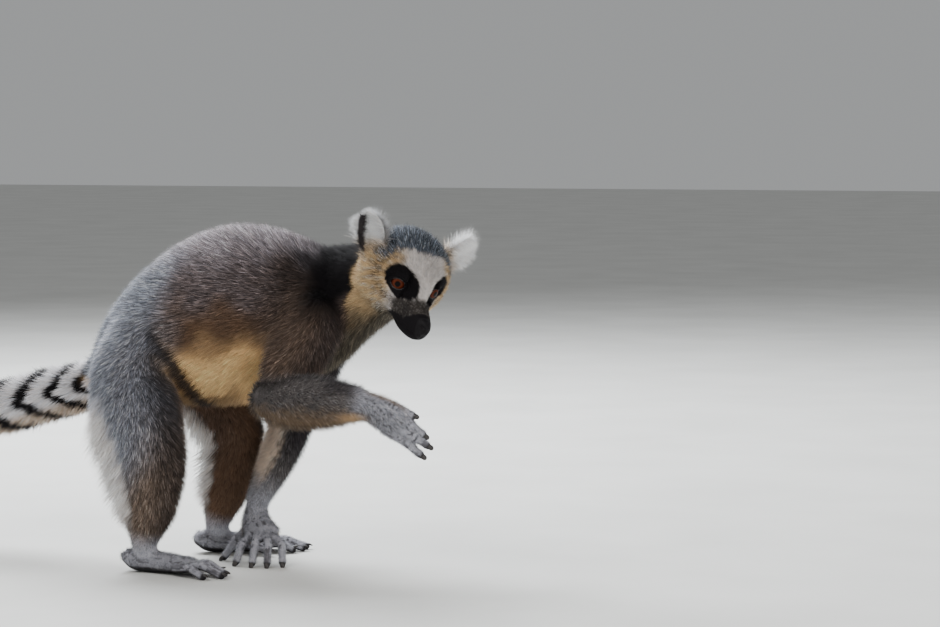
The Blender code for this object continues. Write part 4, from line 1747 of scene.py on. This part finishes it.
@dataclass
class Coat:
    """Tufts over the skin.

    A tuft is a flat three-sided spike: its root lies on the skin, and it leans with the lie of the coat, raised by
    lift degrees, so that its tip reaches the outline of the coat.
    """

    body: Body
    skin: bpy.types.Object
    lift: float = 46.0
    length: float = 1.28
    thickness: float = 0.34
    sunk: float = 0.4
    clearance: float = 0.2
    own_normal: float = 0.38
    lift_spread: float = 6.0
    paw_extra: float = 1.6
    patch: float = 0.0028

    def build(self, pieces: Sequence[CoatPiece]) -> list[bpy.types.Object]:
        """Builds every piece from one shared set of skin triangles.

        Args:
            pieces: the pieces' settings.

        Returns:
            The pieces.
        """
        mesh = self.skin.data
        mesh.calc_loop_triangles()
        triangles = read(mesh.loop_triangles, "vertices", 3, np.int32)
        points = self.body.local(mesh)
        normals = read(mesh.vertices, "normal", 3).astype(float)
        corners = points[triangles]
        area = np.linalg.norm(np.cross(corners[:, 1] - corners[:, 0], corners[:, 2] - corners[:, 0]), axis=1) / 2
        middles = self.body.locate(corners.mean(axis=1))
        made = []
        for number, piece in enumerate(pieces):
            rng = np.random.default_rng(SEED + number)
            weight = area * piece.belongs(self.body, middles)
            tufts = piece.tufts // 1
            total = weight.cumsum()
            ticks = (np.arange(tufts) + rng.uniform(0, 1, tufts)) / tufts * total[-1]
            chosen = triangles[np.minimum(total.searchsorted(ticks), len(area) - 1)]
            mix = rng.dirichlet((1, 1, 1), tufts)[:, :, None]
            roots = (points[chosen] * mix).sum(axis=1)
            upright = unit((normals[chosen] * mix).sum(axis=1))
            made.append(self.piece(piece, roots, upright, rng))
        return made

    def piece(self, piece: CoatPiece, roots: Array, upright: Array, rng: np.random.Generator) -> bpy.types.Object:
        """Builds one piece's mesh from its roots.

        Args:
            piece: the piece's settings.
            roots: where tufts start on the skin.
            upright: the skin's normals there.
            rng: the piece's random numbers.

        Returns:
            The object, with its colours, its unwrap and its softened normals.
        """
        count = len(roots)
        places = self.body.locate(roots)
        flow = self.lie(places, upright, rng)
        across = np.cross(upright, flow)
        lively = 1 + 0.07 * ripple(roots, 9, 14) + 0.06 * ripple(roots, 5, 21) + rng.normal(0, piece.ragged, count)
        lively = lively + self.fringe(places) * rng.uniform(-0.3, 0.6, count)
        long = self.depth(places) * self.length * np.clip(lively, 0.5, 1.6)
        wide = piece.width * np.clip(0.4 + long / 20.0, 0.45, 1.0) * rng.uniform(0.75, 1.25, count)
        lift = np.radians(self.lift + rng.normal(0, self.lift_spread, count))[:, None]
        along = np.cos(lift) * flow + np.sin(lift) * upright
        out = -np.sin(lift) * flow + np.cos(lift) * upright
        half = wide[:, None] / 2
        shifts = [-across * half, out * 2 * self.thickness * half, across * half, along * long[:, None]]
        points = np.stack([roots - self.sunk * upright + shift for shift in shifts], axis=1)
        points[..., 2] = np.maximum(points[..., 2], self.clearance)
        faces = np.array([(0, 1, 2), (0, 3, 1), (1, 3, 2), (2, 3, 0)])
        triangles = (faces[None] + (np.arange(count) * 4)[:, None, None]).reshape(-1, 3)
        mesh = triangle_mesh(piece.name, self.body.world(points.reshape(-1, 3)), triangles)
        self.paint(mesh, roots, roots + flow * (0.45 * np.cos(lift) * long[:, None]), rng, piece.speck)
        self.unwrap(mesh, places)
        self.soften(mesh, upright, out, across)
        return finish(put(piece.name, mesh), FurFinish(f"{piece.name}_hair").make())

    def lie(self, places: Places, upright: Array, rng: np.random.Generator) -> Array:
        """The direction in which each tuft lies along the skin: with the flow and a little down, and away from eyes.

        Args:
            places: the roots' places.
            upright: the skin's normals at the roots.
            rng: the piece's random numbers.

        Returns:
            A direction for each tuft.
        """
        roots = places.points
        flow = places.flow + np.array([0.0, 0.0, -0.25])
        flow = flow + self.fringe(places)[:, None] * np.array([-0.75, 0.0, -0.1])
        swirl = 0.13 * np.stack([ripple(roots, 22, s) + 0.8 * ripple(roots, 7, s + 3) for s in (11, 12, 13)], axis=1)
        q = carried(HEAD_INVERSE, roots)
        centre = np.array(EYE_CENTRE) * np.stack([np.ones(len(q)), np.sign(q[:, 1]), np.ones(len(q))], axis=1)
        spread = turned(HEAD_MATRIX, q - centre) * self.body.kind_share(places, Kind.HEAD)[:, None]
        flow = flow + swirl + 1.6 * step(17, 8, np.linalg.norm(q - centre, axis=1))[:, None] * spread
        flow = flow + rng.normal(0, 0.13, (len(roots), 3))
        return unit(flow - (flow * upright).sum(axis=1, keepdims=True) * upright)

    def fringe(self, places: Places) -> Array:
        """The share of the fringe behind the thighs."""
        return fringe_share(places.points, places.angle, places.share) * self.body.kind_share(places, Kind.LEG)

    def depth(self, places: Places) -> Array:
        """The coat's depth: the loft's own, less round the eyes and on the muzzle, more on paws and fringes.

        Args:
            places: where the points lie on the body.

        Returns:
            A depth in mm for each point.
        """
        q = carried(HEAD_INVERSE, places.points)
        from_eye = np.hypot(*eye_plane(folded(q)))
        own = places.coat * (0.45 + 0.55 * step(7, 16, from_eye)) * (1 + 1.0 * self.fringe(places))
        return own * (1 - 0.7 * muzzle_share(q)) + self.paw_extra * self.body.kind_share(places, *PAWS)

    def paint(self, mesh: bpy.types.Mesh, roots: Array, middles: Array, rng: np.random.Generator, speck: float) -> None:
        """Colours tufts from the markings under their middles: darker roots, which are painted shade, paler tips, and
        flecks on grey hair.

        Args:
            mesh: the piece's mesh.
            roots: where the tufts start.
            middles: the points whose markings they show.
            rng: the piece's random numbers.
            speck: how strong the flecks are.
        """
        base = Markings(self.body).colour(self.body.locate(middles))
        count = len(base)
        tone = base.mean(axis=1)
        vivid = (base.max(axis=1) - base.min(axis=1)) / base.max(axis=1)
        grey = speck * step(0.01, 0.06, tone) * step(0.5, 0.34, tone) * step(0.75, 0.35, vivid)
        clump = ripple(roots, 5, 21, 12) + 0.8 * ripple(roots, 2.7, 23, 16)
        plain = rng.normal(0, 0.16, count) + 0.09 * clump
        shade = plain + grey * (rng.normal(0, 0.36, count) + 0.14 * clump)
        shade = np.exp(shade - 0.08 * grey) * (1 + 0.06 * ripple(roots, 24, 22))
        warm = rng.normal(0, 0.035, count)
        base = base * np.clip(shade, 0.25, 3.0)[:, None] * np.stack([1 + warm, np.ones(count), 1 - warm], axis=1)
        pale = step(0.3, 0.6, tone)
        # Darker roots are painted shade deep in the coat; pale hair gets less of it, painted for the light that passes
        # through.
        root_shade = (0.68 - 0.20 * grey + 0.16 * pale)[:, None]
        tip_shade = (1.12 + grey * (1.7 * (rng.uniform(size=count) < 0.27) - 0.42))[:, None]
        colours = np.stack([base * root_shade] * 3 + [base * tip_shade], axis=1)
        set_colour(mesh, COLOUR, np.clip(colours, 0, 0.9).reshape(-1, 3))

    def unwrap(self, mesh: bpy.types.Mesh, places: Places) -> None:
        """Gives each tuft a small patch at its root's place on the body's own unwrap.

        Every loft that the piece covers has a strip of the square: around it runs u, and along it runs v.

        Args:
            mesh: the piece's mesh.
            places: the roots' places.
        """
        owners, strip = np.unique(places.owner, return_inverse=True)
        u = np.mod(places.angle / (2 * math.pi), 1.0)
        v = (strip + places.share) / len(owners)
        root = np.stack([u, v], axis=1) * (1 - 2 * self.patch) + self.patch
        corner = np.array([(-1.0, -1.0), (0.0, -0.76), (1.0, -1.0), (0.0, 1.0)]) * self.patch / 2
        set_uv(mesh, "OFBake", (root[:, None] + corner[None]).reshape(-1, 2))

    def soften(self, mesh: bpy.types.Mesh, upright: Array, out: Array, across: Array) -> None:
        """Sets normals between the tuft's own and the skin's, so that the coat shades as a soft whole.

        Args:
            mesh: the piece's mesh.
            upright: the skin's normals at the roots.
            out: each tuft's outward direction.
            across: its sideways direction.
        """
        own = unit(np.stack([out - across, out, out + across, out], axis=1))
        mixed = unit(own * self.own_normal + upright[:, None] * (1 - self.own_normal))
        mesh.normals_split_custom_set_from_vertices(mixed.reshape(-1, 3).astype(np.float32))


def of_kinds(*kinds: Kind, test: Callable[[Array], Array] | None = None) -> Callable[[Body, Places], Array]:
    """A choice of skin that belongs to some kinds of loft, and passes a test on its points.

    Args:
        kinds: the kinds.
        test: a test on points, or None.

    Returns:
        A function of the body and of places.
    """

    def belongs(body: Body, places: Places) -> Array:
        """Marks what is chosen.

        Args:
            body: the animal.
            places: the points' places on it.

        Returns:
            One where the skin is chosen, else nought.
        """
        chosen = np.isin(places.owner, [k for k, loft in enumerate(body.lofts) if loft.kind in kinds])
        if test is not None:
            chosen &= test(places.points)
        return chosen.astype(float)

    return belongs


def within(axis: int, low: float = -math.inf, high: float = math.inf) -> Callable[[Array], Array]:
    """A test for points from low up to high along an axis."""
    return lambda points: (points[:, axis] >= low) & (points[:, axis] < high)


def on_face(points: Array) -> Array:
    """Whether points lie on the face, where hair is short."""
    return carried(HEAD_INVERSE, points)[:, 0] > -11


def on_tail_end(points: Array) -> Array:
    """Whether points of the tail lie past its bend."""
    return (points[:, 0] <= -290) | (points[:, 2] >= 200)


def face_density(body: Body, places: Places) -> Array:
    """Face hair: none on the nose pad or in the eye openings.

    Args:
        body: the animal's body.
        places: where the points lie on the body.

    Returns:
        How thickly hair grows at each point.
    """
    q = carried(HEAD_INVERSE, places.points)
    side, rise = eye_plane(folded(q))
    clear = np.hypot(side / 8.0, rise / 7.3) > 1
    return of_kinds(Kind.HEAD, test=on_face)(body, places) * clear * (q[:, 0] < 38.5)


def paw_density(body: Body, places: Places) -> Array:
    """Paw hair: on the backs only, none on palms, soles or finger tips."""
    tone = Markings(body).colour(places).mean(axis=1)
    return of_kinds(*PAWS)(body, places) * step(0.12, 0.25, tone) * (places.points[:, 2] > 3)


RUMP = of_kinds(Kind.TORSO, test=within(0, high=-20))
CHEST = of_kinds(Kind.TORSO, test=within(0, -20, 70))
NECK = of_kinds(Kind.TORSO, test=within(0, low=70))
TAIL_BASE, TAIL_END = of_kinds(Kind.TAIL, test=lambda p: ~on_tail_end(p)), of_kinds(Kind.TAIL, test=on_tail_end)
RIGHT_SIDE, LEFT_SIDE = of_kinds(Kind.LEG, test=within(1, high=0)), of_kinds(Kind.LEG, test=within(1, low=0))
CROWN = of_kinds(Kind.HEAD, test=lambda p: ~on_face(p))
COAT_PIECES = [
    CoatPiece("coat_rump", "coat_grey", 42000, RUMP, width=0.68),
    CoatPiece("coat_chest", "coat_grey", 42000, CHEST, width=0.68),
    CoatPiece("coat_neck", "coat_white", 32000, NECK, width=0.66),
    CoatPiece("coat_tail_base", "coat_ringed", 26000, TAIL_BASE),
    CoatPiece("coat_tail_end", "coat_ringed", 32000, TAIL_END),
    CoatPiece("coat_leg_right", "coat_grey", 34000, RIGHT_SIDE, width=0.70),
    CoatPiece("coat_leg_left", "coat_grey", 20000, LEFT_SIDE),
    CoatPiece("coat_arms", "coat_grey", 36000, of_kinds(Kind.ARM), width=0.62),
    CoatPiece("coat_crown", "coat_white", 28000, CROWN, width=0.52, speck=1.7, ragged=0.2),
    CoatPiece("coat_ears", "coat_white", 26000, of_kinds(Kind.EAR), width=0.36, ragged=0.34),
    CoatPiece("coat_face", "coat_white", 32000, face_density, width=0.5),
    CoatPiece("coat_paws", "coat_white", 24000, paw_density, width=0.62, ragged=0.22),
]


# --- Eyes ---


@dataclass
class Eye:
    """An eyeball that looks along its gaze, and the rim of the lids round it."""

    body: Body
    side: str
    hand: float
    gap: float = 0.2
    cornea: float = 0.5
    lid_half_width: float = 0.95
    lid_half_height: float = 0.6

    @cached_property
    def axes(self) -> tuple[Array, Array, Array, Array]:
        """The eye's own frame: the right eye's, mirrored for the left one, then carried with the head.

        Returns:
            The ball's centre, and its gaze, sideways and upward directions, in the animal's frame.
        """
        flip = np.array([1.0, self.hand, 1.0])
        centre = carried(HEAD_MATRIX, (np.array(EYE_CENTRE) * flip)[None])[0]
        return (centre, *(turned(HEAD_MATRIX, (v * flip)[None])[0] for v in (GAZE, EYE_SIDE, EYE_RISE)))

    def build(self) -> list[bpy.types.Object]:
        """Builds the ball and the rim."""
        return [self.ball(), self.rim()]

    def ball(self) -> bpy.types.Object:
        """A ball of rings about the gaze: at angle b from it, R cos(b) ahead and R sin(b) away.

        It is a little smaller than the skin's own ball, and the cornea bulges over the iris by a rounded rise.

        Returns:
            The ball.
        """
        centre, gaze, side, rise = self.axes
        tilt = np.linspace(0, math.pi, 42)[1:-1]
        around = angles_round(56)
        radius = EYE_RADIUS - self.gap + self.cornea * step(0.85, 0.2, tilt)
        ring = np.cos(around)[None, :, None] * side + np.sin(around)[None, :, None] * rise
        points = centre + (radius * np.cos(tilt))[:, None, None] * gaze + (radius * np.sin(tilt))[:, None, None] * ring
        ends = EYE_RADIUS - self.gap + self.cornea, -(EYE_RADIUS - self.gap)
        points = np.vstack([points.reshape(-1, 3), *(centre + gaze * end for end in ends)])
        shell = points, closed_tube(len(tilt), len(around))
        made = closed_object(f"eye_{self.side}_ball", [shell], self.body)
        set_uv(made.data, "gaze", np.stack([(points - centre) @ side, (points - centre) @ rise], axis=1) / EYE_RADIUS)
        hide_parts(f"eye_{self.side}")
        return finish(made, IrisFinish().make())

    def rim(self) -> bpy.types.Object:
        """A round strip carried along the almond opening, lying on the ball: wider than it is thick.

        Returns:
            The rim.
        """
        centre, gaze, side, rise = self.axes
        path = angles_round(72)
        pointed = 1 + 0.07 * np.abs(np.cos(path)) ** 3
        flat = np.stack([EYE_OPENING[0] * pointed * np.cos(path), EYE_OPENING[1] * np.sin(path)], axis=1)
        away = np.hypot(*flat.T)
        outwards = flat / away[:, None]
        spoke = outwards[:, :1] * side + outwards[:, 1:] * rise
        lean = np.arcsin(np.clip(away / (EYE_RADIUS + 0.3), 0, 1))[:, None]
        normal = np.cos(lean) * gaze + np.sin(lean) * spoke
        along_ball = -np.sin(lean) * gaze + np.cos(lean) * spoke
        middle = centre + normal * (EYE_RADIUS + 0.35) + along_ball * 0.5
        turn = angles_round(12)[None, :, None]
        points = (
            middle[:, None]
            + self.lid_half_width * np.cos(turn) * along_ball[:, None]
            + self.lid_half_height * np.sin(turn) * normal[:, None]
        )
        index = np.arange(points.shape[0] * points.shape[1]).reshape(points.shape[:2])
        ahead, beside = np.roll(index, -1, axis=0), np.roll(index, -1, axis=1)
        faces = np.stack([index, beside, np.roll(ahead, -1, axis=1), ahead], axis=-1).reshape(-1, 4)
        made = closed_object(f"lid_{self.side}", [(points.reshape(-1, 3), faces.tolist())], self.body)
        return finish(made, LID.make())


# --- Nails ---


@dataclass(frozen=True)
class Nails:
    """The nails of one paw: small curved plates on the backs of the tips, and a grooming claw on the second toe."""

    body: Body
    paw: str
    back: Triple
    kind: Kind
    half_sizes: Triple = (3.0, 2.3, 0.55)
    claw_half_sizes: Triple = (4.6, 1.3, 1.2)
    big_toe_scale: float = 1.35
    sag: float = 0.16
    claw_rise: float = 0.9

    def plate(self, loft: Loft) -> Shell:
        """One nail: an ellipsoid flattened on the back of the tip, whose sides sag by sag times the square across.

        The grooming claw is longer, narrower, thicker and raised.

        Args:
            loft: the digit's loft.

        Returns:
            Its points and faces.
        """
        rows, along, _, _ = loft.rings
        ahead = turned(loft.place, along[-1:])[0]
        tip = carried(loft.place, rows[-1:, :3])[0]
        back = unit(np.array(self.back) - np.dot(self.back, ahead) * ahead)
        claw = self.kind is Kind.TOE and "second" in loft.name
        big = self.big_toe_scale if "big_toe" in loft.name else 1.0
        size = np.array(self.claw_half_sizes if claw else self.half_sizes) * big
        if claw:
            ahead = unit(ahead + self.claw_rise * back)
            back = unit(back - np.dot(back, ahead) * ahead)
        across = np.cross(back, ahead)
        tilt = np.linspace(0, math.pi, 12)[1:-1]
        around = angles_round(18)
        a = np.append(np.repeat(-np.cos(tilt), len(around)), (-1, 1))
        b, c = (np.append(np.outer(np.sin(tilt), f(around)).ravel(), (0, 0)) for f in (np.cos, np.sin))
        narrowing = 1 - (0.55 * np.clip(a, 0, 1) ** 2 if claw else 0.0)
        bend = 0.0 if claw else 0.05 * (size[0] * (a + 0.3)) ** 2
        wide = size[1] * b * narrowing
        high = size[2] * c * narrowing - self.sag * wide**2 - bend
        seat = tip + back * (DIGIT_TIP_RADIUS * 0.80 * big) + ahead * (1.4 * big)
        points = seat + ahead * (size[0] * a)[:, None] + across * wide[:, None] + back * high[:, None]
        return points, closed_tube(len(tilt), len(around))

    def build(self) -> bpy.types.Object:
        """Builds the paw's nails as one mesh.

        Returns:
            The nails.
        """
        tips = [loft for loft in self.body.lofts if loft.kind is self.kind and loft.name.startswith(self.paw)]
        limb = "hand" if self.kind is Kind.FINGER else "foot"
        made = closed_object(f"nails_{self.paw}_{limb}", map(self.plate, tips), self.body)
        return finish(made, HORN.make())


# --- Stage ---


@dataclass(frozen=True)
class Lamp:
    """A square light."""

    name: str
    place: Triple
    size: float
    power: float
    colour: Triple


LAMPS = [
    Lamp("key", (-0.7, -1.5, 2.0), 1.6, 34.0, (1.0, 0.985, 0.96)),
    Lamp("sky", (-0.8, 1.1, 1.9), 1.8, 172.0, (0.94, 0.97, 1.0)),
    Lamp("fill", (1.9, -1.4, 0.9), 1.4, 22.0, (1.0, 0.97, 0.93)),
]


@dataclass
class Stage:
    """Pale floor, soft lights and the camera."""

    body: Body
    azimuth: float = math.radians(15.0)
    elevation: float = math.radians(4.0)
    distance: float = 2.6
    target: Triple = (0.212, 0.0, 0.231)
    frame_width: float = 0.825
    sensor: float = 36.0
    floor_reach: float = 12.0
    chest: Triple = (0.05, 0.0, 0.2)

    def build(self) -> None:
        """Builds all of it."""
        self.floor()
        self.lights()
        self.camera()

    def floor(self) -> None:
        """A wide pale plane at z = 0."""
        points = np.array([(-1, -1, 0), (1, -1, 0), (1, 1, 0), (-1, 1, 0)]) * self.floor_reach
        made = new_object("floor", points, [(0, 1, 2, 3)], smooth_shade=False)
        material, tree = new_material("floor", Roughness=0.9, Specular_IOR_Level=0.2)
        stops = (0.3, (0.60, 0.60, 0.58)), (0.7, (0.66, 0.66, 0.64))
        feed(tree, "Base Color", ramp(tree, noise(tree, 6.0, 4.0), *stops))
        made.data.materials.append(material)

    def lights(self) -> None:
        """Soft sky from above and behind, a broad fill by the camera, and pale surroundings. All face the chest."""
        for lamp in LAMPS:
            light = bpy.data.lights.new(lamp.name, "AREA")
            light.shape, light.size, light.energy, light.color = "SQUARE", lamp.size, lamp.power, lamp.colour
            made = put(lamp.name, light)
            made.location = lamp.place
            made.rotation_euler = (Vector(self.chest) - Vector(lamp.place)).to_track_quat("-Z", "Y").to_euler()
        world = bpy.data.worlds.new("surroundings")
        world.use_nodes = True
        background = world.node_tree.nodes["Background"]
        background.inputs["Color"].default_value = (0.93, 0.95, 0.96, 1.0)
        background.inputs["Strength"].default_value = 0.38
        bpy.context.scene.world = world

    def camera(self) -> None:
        """A long lens from the animal's right, a little ahead of it and above it."""
        level = math.cos(self.elevation)
        back = Vector((math.sin(self.azimuth) * level, -math.cos(self.azimuth) * level, math.sin(self.elevation)))
        lens = bpy.data.cameras.new("camera")
        lens.sensor_width = self.sensor
        lens.lens = self.sensor * self.distance / self.frame_width
        made = put("camera", lens)
        made.location = Vector(self.target) + back * self.distance + Vector(self.body.offset)
        made.rotation_euler = back.to_track_quat("Z", "Y").to_euler()
        bpy.context.scene.camera = made


def main() -> None:
    """Builds the animal and its stage in order."""
    logging.basicConfig(level=logging.INFO, format="%(message)s", stream=sys.stdout)
    body = Body()
    Stage(body).build()
    skin = Skin(body).build()
    Coat(body, skin).build(COAT_PIECES)
    for side, hand in (("left", 1.0), ("right", -1.0)):
        Eye(body, side, hand).build()
    for paw, back in (("right", RIGHT_HAND_BACK), ("left", LEFT_HAND_BACK)):
        Nails(body, paw, back, Kind.FINGER).build()
    for paw in ("left", "right"):
        Nails(body, paw, UP, Kind.TOE).build()


if __name__ == "__main__":
    main()
